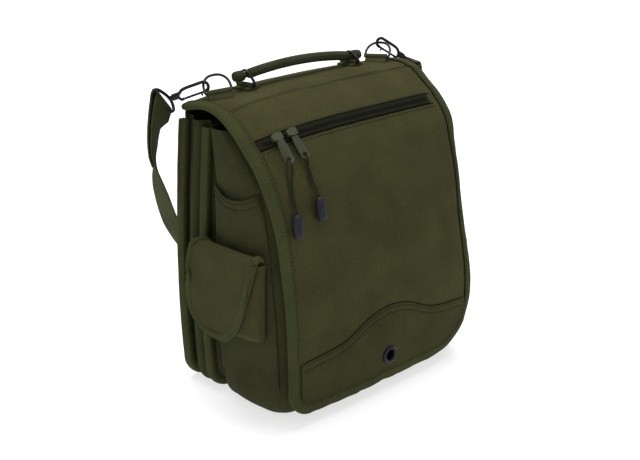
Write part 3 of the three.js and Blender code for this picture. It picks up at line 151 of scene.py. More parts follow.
def noise(u, v, seed, octaves=3):
    """Smooth value noise of unit cells, summed over octaves of half the size and half the height."""
    total = np.zeros(np.broadcast(u, v).shape)
    for k in range(octaves):
        lattice = np.random.default_rng(seed + k).uniform(-1, 1, (64, 64))
        a, b = np.broadcast_arrays(np.asarray(u) * 2.0**k, np.asarray(v) * 2.0**k)
        i, j = np.floor(a).astype(int), np.floor(b).astype(int)
        f, g = a - i, b - j
        f, g = f * f * (3 - 2 * f), g * g * (3 - 2 * g)
        top = lattice[i % 64, j % 64] * (1 - f) + lattice[(i + 1) % 64, j % 64] * f
        low = lattice[i % 64, (j + 1) % 64] * (1 - f) + lattice[(i + 1) % 64, (j + 1) % 64] * f
        total += (top * (1 - g) + low * g) / 2.0**k
    return total


def bell(t, centre, width):
    return np.exp(-(((t - centre) / width) ** 2))


def seam_line(x):
    """The seam across the top of the flap, a little off straight."""
    return 103.5 + 1.2 * np.sin(np.asarray(x) / 60.0)


def flap_relief(x, s):
    """Small swellings and creases of the flap's cloth, in mm along its normal."""
    wide = 0.8 * noise(x / 60 + 3, s / 80, 11)
    fine = 0.13 * noise(x / 14, s / 18, 23)
    seam = -0.9 * bell(s, seam_line(x), 1.5) + 0.5 * bell(s, seam_line(x) + 5, 4)
    swell = 0.9 * bell(s, ZIP_MIDDLE - 10, 4) + 0.5 * bell(s, ZIP_MIDDLE + 11, 5)
    pucker = 0.3 * np.sin(x / 5.2 + 2 * noise(x / 40, 0 * s, 5)) * bell(s, ZIP_MIDDLE, 26)
    drape = 1.1 * bell(s - 0.35 * x, 250, 46) * bell(x, 40, 70) - 0.9 * bell(s + 0.3 * x, 330, 34)
    hem = 0.5 * np.sin(x / 11 + 3 * noise(x / 50, 0 * s, 8)) * np.clip((s - FLAP_LONG + 60) / 60, 0, 1)
    edge = np.clip((HALF_FLAP - np.abs(x)) / 14, 0, 1)
    free = np.clip((s - 26) / 30, 0, 1)
    return (wide + seam + swell + pucker + drape + hem) * edge * free + fine * free


def on_flap(x, s, height=0.0):
    """Points in mm that stand the given height over the creased face, and the normals there."""
    x, s, height = np.broadcast_arrays(np.asarray(x, float), np.asarray(s, float), np.asarray(height, float))
    across = flap_face(x + 0.5, s) - flap_face(x - 0.5, s)
    down = flap_face(x, s + 0.5) - flap_face(x, s - 0.5)
    normal = unit(np.cross(down, across))
    return flap_face(x, s) + normal * (flap_relief(x, s) + height)[..., None], normal


def flap_half(s, side, margin=0.0):
    """Half width with the rounded lower corners: h = H - R + sqrt(R^2 - into^2)."""
    radius = (CORNER_LEFT if side < 0 else CORNER_RIGHT) - margin
    into = np.clip(s - (FLAP_LONG - margin - radius), 0, radius)
    neck = np.clip((s - HEM) / (TAPE_START - HEM - 2), 0, 1)
    return HEM_HALF + (HALF_FLAP - HEM_HALF) * neck - margin - radius + np.sqrt(radius**2 - into**2)


# Meshes
def solid(verts, faces, caps=(), uv=None):
    """Points, faces and UVs of one closed piece, with its faces turned outwards."""
    verts = np.asarray(verts, float).reshape(-1, 3)
    co = verts - verts.mean(axis=0)
    tri = np.concatenate([co[faces[:, [0, 1, 2]]], co[faces[:, [0, 2, 3]]]])
    inside_out = np.einsum("ij,ij->i", tri[:, 0], np.cross(tri[:, 1], tri[:, 2])).sum() < 0
    faces = faces.tolist() + [list(c) for c in caps]
    uv = np.zeros((len(verts), 2)) if uv is None else np.asarray(uv, float).reshape(-1, 2)
    return verts, [f[::-1] for f in faces] if inside_out else faces, uv


def build(name, solids, material, sharp=40, ride="bag"):
    """One smooth-shaded object at the origin from solids in mm."""
    verts, faces, uvs, start = [], [], [], 0
    for v, f, uv in solids:
        verts.append(v)
        uvs.append(uv)
        faces += [[i + start for i in face] for face in f]
        start += len(v)
    name = name.replace(" ", "_")
    mesh = bpy.data.meshes.new(name)
    mesh.from_pydata((np.vstack(verts) * MM).tolist(), [], faces)
    mesh.update()
    layer = mesh.uv_layers.new(name="cloth")
    corner = np.empty(len(mesh.loops), dtype=np.int32)
    mesh.loops.foreach_get("vertex_index", corner)
    layer.data.foreach_set("uv", (np.vstack(uvs)[corner] * MM).astype(np.float32).ravel())
    mesh.shade_smooth()
    mesh.set_sharp_from_angle(angle=math.radians(sharp))
    mesh.materials.append(material)
    obj = bpy.data.objects.new(name, mesh)
    bpy.context.scene.collection.objects.link(obj)
    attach(obj, ride)
    return obj


def quads(rows, cols, start=0, wrap=False, flip=False):
    """Faces of a grid of points; wrap joins the last column to the first."""
    i = np.arange(rows - 1)[:, None]
    j = np.arange(cols if wrap else cols - 1)[None, :]
    a, b = i * cols + j, i * cols + (j + 1) % cols
    f = np.stack([a, b, b + cols, a + cols], axis=-1).reshape(-1, 4) + start
    return f[:, ::-1] if flip else f


def slab(outer, inner, uv, hole=None):
    """A sheet between two grids of points; hole marks the cells of the grid that are left out."""
    rows, cols = outer.shape[:2]
    n = rows * cols
    ids = np.arange(n).reshape(rows, cols)
    rim = np.concatenate([ids[0], ids[1:, -1], ids[-1, -2::-1], ids[-2:0:-1, 0]])
    after = np.roll(rim, -1)
    side = np.stack([after, rim, rim + n, after + n], axis=-1)
    face = quads(rows, cols)
    if hole is not None:
        face = face[~hole.ravel()]
    faces = np.vstack([face, face[:, ::-1] + n, side])
    return solid(np.vstack([outer.reshape(-1, 3), inner.reshape(-1, 3)]), faces, (), np.vstack([uv.reshape(-1, 2)] * 2))


def tube(rings, closed=False):
    """A body through rings of points; the ends are filled unless the rings close on themselves."""
    rings = np.asarray(rings)
    n, k = rings.shape[:2]
    faces = quads(n + 1, k, wrap=True) % (n * k) if closed else quads(n, k, wrap=True)
    caps = () if closed else (list(range(k))[::-1], list(range((n - 1) * k, n * k)))
    along = np.concatenate([[0], np.cumsum(np.linalg.norm(np.diff(rings.mean(axis=1), axis=0), axis=1))])
    around = np.concatenate([[0], np.cumsum(np.linalg.norm(np.diff(rings[0], axis=0), axis=1))])
    uv = np.stack(np.broadcast_arrays(around[None, :], along[:, None]), axis=-1)
    return solid(rings, faces, caps, uv)


def spline(points, count, closed=False):
    """Catmull-Rom through the points, sampled evenly by length."""
    p = np.asarray(points, float)
    p = np.vstack([p[-1:], p, p[:2]]) if closed else np.vstack([2 * p[0] - p[1], p, 2 * p[-1] - p[-2]])
    u = np.linspace(0, 1, 20, endpoint=False)[:, None]
    fine = []
    for a, b, c, d in zip(p[:-3], p[1:-2], p[2:-1], p[3:]):
        k = [(np.linalg.norm(q - r) + 1e-9) ** 0.5 for q, r in ((b, a), (c, b), (d, c))]
        m1 = ((b - a) / k[0] - (c - a) / (k[0] + k[1]) + (c - b) / k[1]) * k[1]
        m2 = ((c - b) / k[1] - (d - b) / (k[1] + k[2]) + (d - c) / k[2]) * k[1]
        fine.append((2 * u**3 - 3 * u**2 + 1) * b + (u**3 - 2 * u**2 + u) * m1
                    + (3 * u**2 - 2 * u**3) * c + (u**3 - u**2) * m2)
    fine = np.vstack(fine + [p[-2][None]])
    far = np.concatenate([[0], np.cumsum(np.linalg.norm(np.diff(fine, axis=0), axis=1))])
    at = np.linspace(0, far[-1], count, endpoint=not closed)
    return np.stack([np.interp(at, far, fine[:, k]) for k in range(fine.shape[1])], axis=1)


def sweep(path, normal, section, closed=False):
    """Rings of a section (out, up) along a path; up follows the given normals."""
    path = np.asarray(path, float)
    ahead = np.roll(path, -1, axis=0) - np.roll(path, 1, axis=0) if closed else np.gradient(path, axis=0)
    along = unit(ahead)
    normal = np.broadcast_to(np.asarray(normal, float), path.shape)
    up = unit(normal - np.sum(normal * along, axis=1, keepdims=True) * along)
    out = np.cross(along, up)
    section = np.asarray(section, float)
    if section.ndim == 2:
        section = np.broadcast_to(section, (len(path),) + section.shape)
    return path[:, None] + section[..., :1] * out[:, None] + section[..., 1:2] * up[:, None]


def round_section(radius, sides=14, flat=1.0):
    turn = 2 * math.pi * (np.arange(sides) + 0.5) / sides
    return np.column_stack([radius * np.cos(turn), radius * flat * np.sin(turn)])


def flat_section(width, thick, sides=5):
    """A strip's section with half-round edges."""
    turn = np.linspace(-math.pi / 2, math.pi / 2, sides)
    r = thick / 2
    end = np.column_stack([width / 2 - r + r * np.cos(turn), r * np.sin(turn)])
    return np.vstack([end, -end])


def wire(points, radius, normal, count=90, closed=True, sides=14):
    path = spline(points, count, closed)
    return tube(sweep(path, normal, round_section(radius, sides), closed), closed)


def rod(start, end, radius, bevel=0.35, sides=24):
    """A cylinder with softened ends."""
    start, end = np.asarray(start, float), np.asarray(end, float)
    along = unit(end - start)
    side = unit(np.cross(along, [0.3, 0.5, 0.8]))
    steps = np.array([0, 0, bevel, 1, 1, 1]) if bevel else np.array([0, 0, 1, 1])
    long = np.linalg.norm(end - start)
    at = np.array([0, 0, bevel, long - bevel, long, long])
    radii = np.array([0.05, radius - bevel, radius, radius, radius - bevel, 0.05])[: len(steps)]
    ring = round_section(1.0, sides)
    shape = side * ring[:, :1] + np.cross(along, side) * ring[:, 1:]
    return tube(start + along * at[:, None, None] + shape[None] * radii[:, None, None])


def lathe(profile, centre, axis, sides=48):
    """A closed profile (radius, height) turned round an axis."""
    profile = np.asarray(profile, float)
    axis = unit(np.asarray(axis, float))
    side = unit(np.cross(axis, [1.0, 0.2, 0.1]))
    other = np.cross(axis, side)
    turn = (2 * math.pi * np.arange(sides) / sides)[:, None, None]
    spoke = side * np.cos(turn) + other * np.sin(turn)
    return tube(np.asarray(centre) + spoke * profile[None, :, :1] + axis * profile[None, :, 1:], closed=True)


def stitches(path, normal):
    """A row of sewn stitches: grain-shaped dashes laid evenly along a path on a surface."""
    long, gap, radius = settings().stitch / MM, settings().stitch_gap / MM, settings().thread / 2 / MM
    path, normal = np.asarray(path, float), unit(np.asarray(normal, float))
    normal = np.broadcast_to(normal, path.shape)
    far = np.concatenate([[0], np.cumsum(np.linalg.norm(np.diff(path, axis=0), axis=1))])
    count = max(1, int(far[-1] // (long + gap)))
    start = (np.arange(count) + 0.5) * far[-1] / count
    shape = np.array([(-0.5, 0.25), (-0.4, 0.8), (0.0, 1.0), (0.4, 0.8), (0.5, 0.25)])
    at = start[:, None] + shape[None, :, 0] * long
    centre = np.stack([np.interp(at, far, path[:, k]) for k in range(3)], axis=-1)
    up = unit(np.stack([np.interp(at, far, normal[:, k]) for k in range(3)], axis=-1))
    along = unit(centre[:, -1:] - centre[:, :1])
    out = np.cross(np.broadcast_to(along, up.shape), up)
    turn = 2 * math.pi * np.arange(5) / 5
    size = (radius * shape[:, 1])[None, :, None, None]
    ring = out[:, :, None] * np.cos(turn)[:, None] + up[:, :, None] * np.sin(turn)[:, None]
    points = centre[:, :, None] + ring * size
    base = np.arange(count)[:, None, None] * 25
    side = (base + quads(5, 5, wrap=True)[None]).reshape(-1, 4)
    ends = (np.array([[4, 3, 2, 1, 0], [20, 21, 22, 23, 24]])[None] + base).reshape(-1, 5)
    return solid(points, side, ends.tolist())


def crease(x, s, width=1.1, height=0.12):
    """A painted shadow along a seam of the flap: a dark line sunk as a thin ribbon along (x, s)."""
    line = np.column_stack([x, s])
    ahead = unit(np.gradient(line, axis=0))
    out = np.column_stack([-ahead[:, 1], ahead[:, 0]]) * width / 2
    px, ps = (np.stack([line[:, k] - out[:, k], line[:, k] + out[:, k]]) for k in (0, 1))
    return slab(on_flap(px, ps, height)[0], on_flap(px, ps, -0.3)[0], np.stack([px, ps], -1))


# Materials
def settings():
    return bpy.context.scene.field_bag


def colour(name):
    return tuple(getattr(bpy.context.scene.field_bag_colours, name))




def link(tree, a, out, b, into):
    tree.links.new(a.outputs[out], b.inputs[into])


def cloth_group():
    """Colour and normal of a woven cloth whose UVs are in metres."""
    group = bpy.data.node_groups.get("Cloth")
    if group:
        return group
    group = bpy.data.node_groups.new("Cloth", "ShaderNodeTree")
    for name, kind, value in (("Colour", "Color", None), ("Threads", "Float", 330.0),
                              ("Relief", "Float", 0.4), ("Mottle", "Float", 0.25)):
        socket = group.interface.new_socket(name, in_out="INPUT", socket_type="NodeSocket" + kind)
        if value is not None:
            socket.default_value = value
    group.interface.new_socket("Colour", in_out="OUTPUT", socket_type="NodeSocketColor")
    group.interface.new_socket("Normal", in_out="OUTPUT", socket_type="NodeSocketVector")
    node = group.nodes.new
    inlet, outlet = node("NodeGroupInput"), node("NodeGroupOutput")
    uv, place = node("ShaderNodeUVMap"), node("ShaderNodeTexCoord")
    uv.uv_map = "cloth"
    waves = []
    for way in ("X", "Y"):
        wave = node("ShaderNodeTexWave")
        wave.bands_direction = way
        wave.inputs["Distortion"].default_value = 1.2
        wave.inputs["Detail Scale"].default_value = 0.3
        link(group, uv, "UV", wave, "Vector")
        link(group, inlet, "Threads", wave, "Scale")
        waves.append(wave)
    weave = node("ShaderNodeMath")
    weave.operation = "MAXIMUM"
    group.links.new(waves[0].outputs["Fac"], weave.inputs[0])
    group.links.new(waves[1].outputs["Fac"], weave.inputs[1])
    spots = []
    for scale, detail in ((420.0, 2.0), (28.0, 5.0), (7.0, 3.0)):
        spot = node("ShaderNodeTexNoise")
        spot.inputs["Scale"].default_value = scale
        spot.inputs["Detail"].default_value = detail
        link(group, place, "Object", spot, "Vector")
        spots.append(spot)
    total = node("ShaderNodeMath")
    total.operation = "ADD"
    group.links.new(spots[0].outputs["Fac"], total.inputs[0])
    group.links.new(spots[1].outputs["Fac"], total.inputs[1])
    more = node("ShaderNodeMath")
    more.operation = "ADD"
    group.links.new(total.outputs[0], more.inputs[0])
    group.links.new(spots[2].outputs["Fac"], more.inputs[1])
    centred = node("ShaderNodeMath")
    centred.operation = "SUBTRACT"
    centred.inputs[1].default_value = 1.5
    group.links.new(more.outputs[0], centred.inputs[0])
    shade = node("ShaderNodeMath")
    shade.operation = "MULTIPLY_ADD"
    shade.inputs[2].default_value = 1.0
    group.links.new(centred.outputs[0], shade.inputs[0])
    group.links.new(inlet.outputs["Mottle"], shade.inputs[1])
    tint = node("ShaderNodeVectorMath")
    tint.operation = "SCALE"
    link(group, inlet, "Colour", tint, 0)
    link(group, shade, 0, tint, "Scale")
    link(group, tint, 0, outlet, "Colour")
    high = node("ShaderNodeMath")
    high.operation = "MULTIPLY_ADD"
    high.inputs[1].default_value = 1.6
    group.links.new(spots[0].outputs["Fac"], high.inputs[0])
    group.links.new(weave.outputs[0], high.inputs[2])
    bump = node("ShaderNodeBump")
    bump.inputs["Distance"].default_value = 0.0004
    link(group, inlet, "Relief", bump, "Strength")
    link(group, high, 0, bump, "Height")
    link(group, bump, "Normal", outlet, "Normal")
    return group


def cloth(name, threads=330.0, relief=0.4):
    """A woven material in one of the bag's colours."""
    key = name.replace("_", " ").capitalize() + " cloth"
    mat = bpy.data.materials.get(key)
    if mat:
        return mat
    mat = bpy.data.materials.new(key)
    mat.use_nodes = True
    tree = mat.node_tree
    shader = tree.nodes["Principled BSDF"]
    group = tree.nodes.new("ShaderNodeGroup")
    group.node_tree = cloth_group()
    group.inputs["Colour"].default_value = (*colour(name), 1)
    group.inputs["Threads"].default_value = threads
    group.inputs["Relief"].default_value = relief
    group.inputs["Mottle"].default_value = settings().mottle
    link(tree, group, "Colour", shader, "Base Color")
    link(tree, group, "Normal", shader, "Normal")
    shader.inputs["Roughness"].default_value = 0.95
    shader.inputs["Specular IOR Level"].default_value = 0.08
    return mat


def plain(name, colour, roughness=0.5, metallic=0.0, worn=0.0):
    """A smooth material; worn scatters its roughness."""
    mat = bpy.data.materials.get(name)
    if mat:
        return mat
    mat = bpy.data.materials.new(name)
    mat.use_nodes = True
    tree = mat.node_tree
    shader = tree.nodes["Principled BSDF"]
    shader.inputs["Base Color"].default_value = (*colour, 1)
    shader.inputs["Metallic"].default_value = metallic
    shader.inputs["Specular IOR Level"].default_value = 0.3 if roughness < 0.6 else 0.05
    shader.inputs["Roughness"].default_value = roughness
    if worn:
        place, spot = tree.nodes.new("ShaderNodeTexCoord"), tree.nodes.new("ShaderNodeTexNoise")
        spot.inputs["Scale"].default_value = 240.0
        spot.inputs["Detail"].default_value = 4.0
        scale = tree.nodes.new("ShaderNodeMath")
        scale.operation = "MULTIPLY_ADD"
        scale.inputs[1].default_value = worn
        scale.inputs[2].default_value = roughness - worn / 2
        link(tree, place, "Object", spot, "Vector")
        tree.links.new(spot.outputs["Fac"], scale.inputs[0])
        tree.links.new(scale.outputs[0], shader.inputs["Roughness"])
    return mat


def black_steel():
    return plain("Black steel", (0.012, 0.012, 0.013), 0.33, 0.3, 0.15)


def thread():
    return plain("Dark thread", colour("thread"), 0.8)


# Body
def half_at(z):
    share = np.clip(np.asarray(z, float) / REAR_RIM, 0, 1)
    return smooth_rows(share, LEVELS[:, 1:], LEVELS[:, 0])[..., 0] * BODY_WIDTH / 2


def front_at(z):
    share = np.clip(np.asarray(z, float) / REAR_RIM, 0, 1)
    return BACK_FACE - BODY_DEPTH + smooth_rows(share, LEVELS[:, 1:], LEVELS[:, 0])[..., 1] * BODY_DEPTH


def strip_at(strip, at):
    """Inset and lift of a gusset's strip at a share of its depth."""
    fold, turn = np.moveaxis(smooth_rows(at, strip[:, 1:], strip[:, 0]), -1, 0)
    return fold * FOLD_DEPTH + turn * FRONT_ROUND, np.maximum(0, fold * FOLD_DEPTH) + turn * FRONT_LIFT


def outline(inset, lift, rim, sides=90, arc=22, bottom=24):
    """The U of the body from the left rim round the bottom to the right rim, as (x, z); a straight
    side x = inset - half(z), an arc of radius R = max(26 - inset/2, 26/3) and the line z = lift."""
    inset, lift = np.asarray(inset, float)[..., None], np.asarray(lift, float)[..., None]
    radius = np.maximum(CORNER - inset / 2, CORNER / 3)
    low = lift + radius
    z = rim + (low - rim) * np.linspace(0, 1, sides)
    x = inset - half_at(z)
    reach = half_at(low) - inset - radius
    turn = np.linspace(0, math.pi / 2, arc)[1:]
    ax, az = -reach - radius * np.cos(turn), low - radius * np.sin(turn)
    bx = -reach * np.linspace(1, 0, bottom)[1:]
    left = np.stack([np.concatenate([x, ax, bx + 0 * inset], -1), np.concatenate([z, az, lift + 0 * bx], -1)], -1)
    right = left[..., -2::-1, :] * np.array([-1, 1])
    return np.concatenate([left, right], axis=-2)


def gusset(strip, y_back, y_front, rim, seed):
    """The strip of cloth between the front and the back of a compartment."""
    at = np.linspace(0, 1, 64)
    inset, lift = strip_at(strip, at)
    grids = []
    for cloth_depth in (0, 2):
        shape = outline(inset + cloth_depth, lift + cloth_depth, rim)
        x, z = shape[..., 0], shape[..., 1]
        crease = 1.3 * noise(z / 55 + 2, at[:, None] * 2.2 + 0 * z, seed) * np.sin(math.pi * at)[:, None]
        crease = crease * np.clip(z / 60, 0, 1)
        y = y_back + (y_front(z) - y_back) * at[:, None]
        grids.append(np.stack([x - np.sign(x) * (crease + 0.6) * 0.8, y, z], -1))
    far = np.cumsum(np.concatenate([[0], np.linalg.norm(np.diff(grids[0][32], axis=0), axis=1)]))
    uv = np.stack(np.broadcast_arrays(far[None, :], at[:, None] * 120), -1)
    return slab(grids[0], grids[1], uv)


def panel(inset, lift, y_of, rim, thick, bulge):
    """A front or back: rows join the left and right sides of the U at each height."""
    shape = outline(inset, lift, rim)[:111]
    u = np.linspace(-1, 1, 60)
    x = -shape[:, :1] * u
    z = shape[:, 1:] + 0 * u
    rise = np.clip((z - z.min()) / 60, 0, 1) * (1 - u**2)
    y = y_of(z) + bulge * rise
    outer = np.stack([x, y, z], -1)
    inner = outer + np.array([0, thick, 0])
    return slab(outer, inner, np.stack([x, z], -1))


def edge_binding(y, top, seed):
    """Tape folded over the seam round a compartment's edge, with a row of stitches."""
    half = np.array([(0.0, 0.0), (0.02, 0.16), (0.08, 0.34), (0.18, 0.46), (0.34, 0.5), (0.7, 0.47), (0.96, 0.43)])
    section = np.vstack([half, half[:0:-1] * (1, -1)])
    inset, along = section[:, 0] * 8.7 + 0.2, section[:, 1] * 12.4
    shape = outline(inset, inset, top)
    far = np.arange(shape.shape[1]) * 4.0
    wave = 0.35 * noise(far / 22, 0 * far, seed)
    x = shape[..., 0] * (1 + 0.0015 * wave)
    body = np.stack([x, y + along[:, None] * (1 + 0.04 * wave), shape[..., 1]], -1).transpose(1, 0, 2)
    seam = outline(6.4, 6.4, top)
    path = np.column_stack([seam[:, 0], np.full(len(seam), y - 0.475 * 12.4), seam[:, 1]])
    return tube(body), stitches(path, (0, -1, 0))


def make_body():
    # The body's cloth carries painted shade: it is darker than the canvas for the gussets that turn away from the
    # light.
    side = cloth("side")
    rear = build("Rear compartment", [
        gusset(REAR_STRIP, BACK_FACE - 1, lambda z: REAR_FRONT + 0 * z, REAR_RIM, 31),
        panel(0.7 * FOLD_DEPTH, 0.7 * FOLD_DEPTH, lambda z: BACK_FACE - 2 + 0 * z, REAR_RIM, 2, 2.0),
        panel(0.7 * FOLD_DEPTH, 0.7 * FOLD_DEPTH, lambda z: REAR_FRONT + 0 * z, REAR_RIM, 2, 0),
    ], side)
    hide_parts("rear_compartment")
    front = build("Front compartment", [
        gusset(FRONT_STRIP, FRONT_BACK, front_at, FRONT_RIM, 41),
        panel(0.7 * FOLD_DEPTH, 0.7 * FOLD_DEPTH, lambda z: FRONT_BACK - 2 + 0 * z, FRONT_RIM, 2, 0),
        panel(FRONT_ROUND, FRONT_LIFT, front_at, FRONT_RIM, 2, -4.0),
    ], side)
    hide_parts("front_compartment")
    for name, node, y, seed in (("Rear edge binding", "rear_edge_binding", REAR_BINDING_Y, 3),
                                ("Middle edge binding", "middle_edge_binding", MIDDLE_BINDING_Y, 7)):
        body, rows = edge_binding(y, 297, seed)
        tape = build(name, [body], cloth("binding", 260, 0.5))
        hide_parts(node)
        build(name + " stitches", [rows], thread())


# Flap
def flap_columns(s, count):
    """x of each column: a share of the half width on its own side."""
    share = np.linspace(-1, 1, count)
    half = np.where(share < 0, flap_half(s, -1)[:, None], flap_half(s, 1)[:, None])
    return share * half


def near_eyelet(x, s, radius):
    """Cells of a grid whose middle lies within a radius of the eyelet."""
    cx = (x[:-1, :-1] + x[1:, 1:]) / 2
    cs = (s[:-1, :-1] + s[1:, 1:]) / 2
    return np.hypot(cx, cs - (FLAP_LONG - EYELET_UP)) < radius


def flap_edge(margin=0.0):
    """The flap's edge (x, s) from the left start of its binding round to the right, and the way out."""
    sides = []
    for side in (-1, 1):
        radius = (CORNER_LEFT if side < 0 else CORNER_RIGHT) - margin
        low = FLAP_LONG - margin - radius
        s = np.linspace(TAPE_START, low, 120)
        turn = np.linspace(0, math.pi / 2, 40)[1:]
        reach = HALF_FLAP - margin - radius
        x = np.concatenate([np.full(120, HALF_FLAP - margin), reach + radius * np.cos(turn)])
        s = np.concatenate([s, low + radius * np.sin(turn)])
        sides.append(np.column_stack([side * x, s]))
    bottom = np.column_stack([np.linspace(sides[0][-1, 0], sides[1][-1, 0], 90)[1:-1], np.full(88, sides[0][-1, 1])])
    path = np.vstack([sides[0], bottom, sides[1][::-1]])
    ahead = unit(np.gradient(path, axis=0))
    return path, np.column_stack([-ahead[:, 1], ahead[:, 0]])


WAVE = np.array([(0, 1), (0.14, 0.93), (0.25, 0.8), (0.37, 0.56), (0.51, 0.3), (0.75, 0.12), (1, 0)])


def panel_top(x):
    """The waved upper edge of the lower panel."""
    rise = smooth_rows(np.clip(np.abs(x) / 126.5, 0, 1), WAVE[:, 1:], WAVE[:, 0])[..., 0]
    return FLAP_LONG - 57.5 - 29.5 * rise


def panel_bottom(x):
    margin = 11.4
    radius = np.where(x < 0, CORNER_LEFT, CORNER_RIGHT) - margin
    into = np.clip(np.abs(x) - (HALF_FLAP - margin - radius), 0, radius)
    return FLAP_LONG - margin - radius + np.sqrt(np.maximum(radius**2 - into**2, 0))


def make_flap():
    s = np.concatenate([np.linspace(0, 40, 30)[:-1], np.linspace(40, FLAP_LONG - 60, 150)[:-1],
                        FLAP_LONG - 60 * (1 - np.linspace(0, 1, 60) ** 0.8)])
    x = flap_columns(s, 131)
    s = np.broadcast_to(s[:, None], x.shape)
    uv = np.stack([x, s], -1)
    sheet = build("Flap", [slab(on_flap(x, s)[0], on_flap(x, s, -2)[0], uv, near_eyelet(x, s, 7.4))], cloth("canvas"))
    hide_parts("flap")

    path, out = flap_edge()
    section = np.array([
        (-11, 0.8), (-11.1, 1.5), (-10.5, 1.9), (-7, 2.1), (-3, 2.1), (-0.6, 1.9), (0.7, 1.3), (1.4, 0.2),
        (1.6, -1), (1.4, -2.3), (0.6, -3.4), (-1, -3.8), (-11, -3.8), (-11, -2.7), (0.1, -2.6), (0.1, 0.5),
    ])
    far = np.cumsum(np.concatenate([[0], np.linalg.norm(np.diff(path, axis=0), axis=1)]))
    low = np.clip((path[:, 1] - FLAP_LONG + 70) / 60, 0.25, 1)
    wave = low * (0.5 * np.sin(far / 6.5 + 3 * noise(far / 40, 0 * far, 9)) + 0.4 * noise(far / 12, 0 * far, 10))
    px = path[:, :1] + out[:, :1] * section[:, 0]
    ps = path[:, 1:] + out[:, 1:] * section[:, 0]
    high = section[:, 1] + wave[:, None] * np.clip(section[:, 0] / 11 + 1.2, 0.2, 1) * 0.8
    tape = build("Flap binding", [tube(on_flap(px, ps, high)[0])], cloth("binding", 260, 0.5))
    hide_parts("flap_binding")
    rows = []
    for inset in (9.3, 2.2):
        high = 2.05 + wave * np.clip(1.2 - inset / 11, 0.2, 1) * 0.8
        rows.append(stitches(*on_flap(path[:, 0] - out[:, 0] * inset, path[:, 1] - out[:, 1] * inset, high)))
    build("Flap binding stitches", rows[:1], thread())

    u = np.linspace(-1, 1, 121) * 126.5
    t = np.linspace(0, 1, 44)[:, None]
    px = np.broadcast_to(u, (44, 121))
    ps = panel_top(px) + (panel_bottom(px) - panel_top(px)) * t
    lip = 1.5 + 0.35 * bell(t * 60, 3, 3) - 0.9 * bell(t * 60, 0, 1.2)
    hole = near_eyelet(px, ps, 7.4)
    low_panel = build("Flap lower panel", [slab(
        on_flap(px, ps, lip)[0], on_flap(px, ps, 0.4)[0], np.stack([px, ps], -1), hole)], cloth("low_panel"))
    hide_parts("flap_lower_panel")
    rows = [stitches(*on_flap(u[2:-2], panel_top(u[2:-2]) + drop, 1.7)) for drop in (2.4, 8.6)]
    line = np.linspace(-129, 129, 300)
    rows.append(stitches(*on_flap(line, seam_line(line) + 4.2, 0.15)))
    # Painted shadows: dark ribbons along the top seam, inside the binding and under the lower panel's top edge.
    dark = [crease(line, seam_line(line), 1.5)]
    for side in (slice(0, 150), slice(150, None)):
        near = (path - out * 11.5)[side]
        dark.append(crease(near[:, 0], near[:, 1], 0.8, 0.3))
    dark.append(crease(u[3:-3], panel_top(u[3:-3]) - 0.5, 1.0, 0.3))
    build("Flap seams", dark, plain("Seam shadow", colour("seam"), 0.95))
    build("Flap stitches", rows, thread())

    point, normal = on_flap(0.0, FLAP_LONG - EYELET_UP, 0.0)
    profile = [(5.8, 1.7), (6.4, 2.7), (7.6, 3.2), (9.2, 3.0), (10.5, 2.2), (10.7, 1.4), (7.2, 1.3),
               (7.2, -2.3), (10.6, -2.4), (10.6, -3.2), (6.4, -3.6), (5.8, -3.0)]
    eyelet = build("Flap eyelet", [lathe(profile, point, normal)], plain("Black eyelet", (0.012, 0.011, 0.016), 0.35, 0.7))
    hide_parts("flap_eyelet")


# Zip
def make_zip():
    x = np.linspace(ZIP_LEFT, ZIP_RIGHT, 200)
    s = np.linspace(ZIP_MIDDLE - 5.5, ZIP_MIDDLE + 5.5, 9)[:, None]
    px, ps = np.broadcast_arrays(x[None, :], s)
    tape = build("Zip tape", [slab(on_flap(px, ps, 1.4)[0], on_flap(px, ps, 0.3)[0],
                                   np.stack([px, ps], -1))], cloth("tape", 200, 0.6))
    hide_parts("zip_tape")
    x = np.linspace(ZIP_LEFT + 5, ZIP_RIGHT - 5, 1600)
    s = np.linspace(-2, 2, 11)[:, None]
    px, ps = np.broadcast_arrays(x[None, :], ZIP_MIDDLE + s)
    teeth = 0.5 + 0.5 * np.sin(px * 2 * math.pi / 1.25 + np.sign(s) * 0.9)
    high = 1.8 + (1.5 - 0.35 * s**2) * (0.55 + 0.45 * teeth) - 0.5 * bell(s, 0, 0.25)
    chain = build("Zip chain", [slab(on_flap(px, ps, np.maximum(high, 1.45))[0], on_flap(px, ps, 1.3)[0],
                                     np.stack([px, ps], -1))], plain("Zip coil", colour("chain"), 0.75))
    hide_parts("zip_chain")
    line = np.linspace(ZIP_LEFT - 4, ZIP_RIGHT + 6, 300)
    rows = [stitches(*on_flap(line, ZIP_MIDDLE + d, h)) for d, h in ((-7.2, 0.15), (7.2, 0.15), (10.6, 0.15))]
    build("Zip stitches", rows, thread())
    # Painted shadows: dark ribbons along both edges and both ends of the zip tape.
    ends = np.linspace(ZIP_MIDDLE - 7, ZIP_MIDDLE + 7, 20)
    dark = [crease(line, ZIP_MIDDLE + d + 0 * line, w) for d, w in ((-6.3, 1.5), (6.2, 1.2))]
    dark += [crease(x + 0 * ends, ends, 1.2) for x in (ZIP_LEFT - 2, ZIP_RIGHT + 1.5)]
    build("Zip seams", dark, plain("Seam shadow", colour("seam"), 0.95))
    finish = plain("Olive metal", (0.075, 0.08, 0.045), 0.42, 0.5, 0.2)
    for name in ("zip_slider_left", "zip_slider_right", "pull_tab_left", "pull_tab_right"):
        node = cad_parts[name]
        node.data.materials.clear()
        node.data.materials.append(finish)


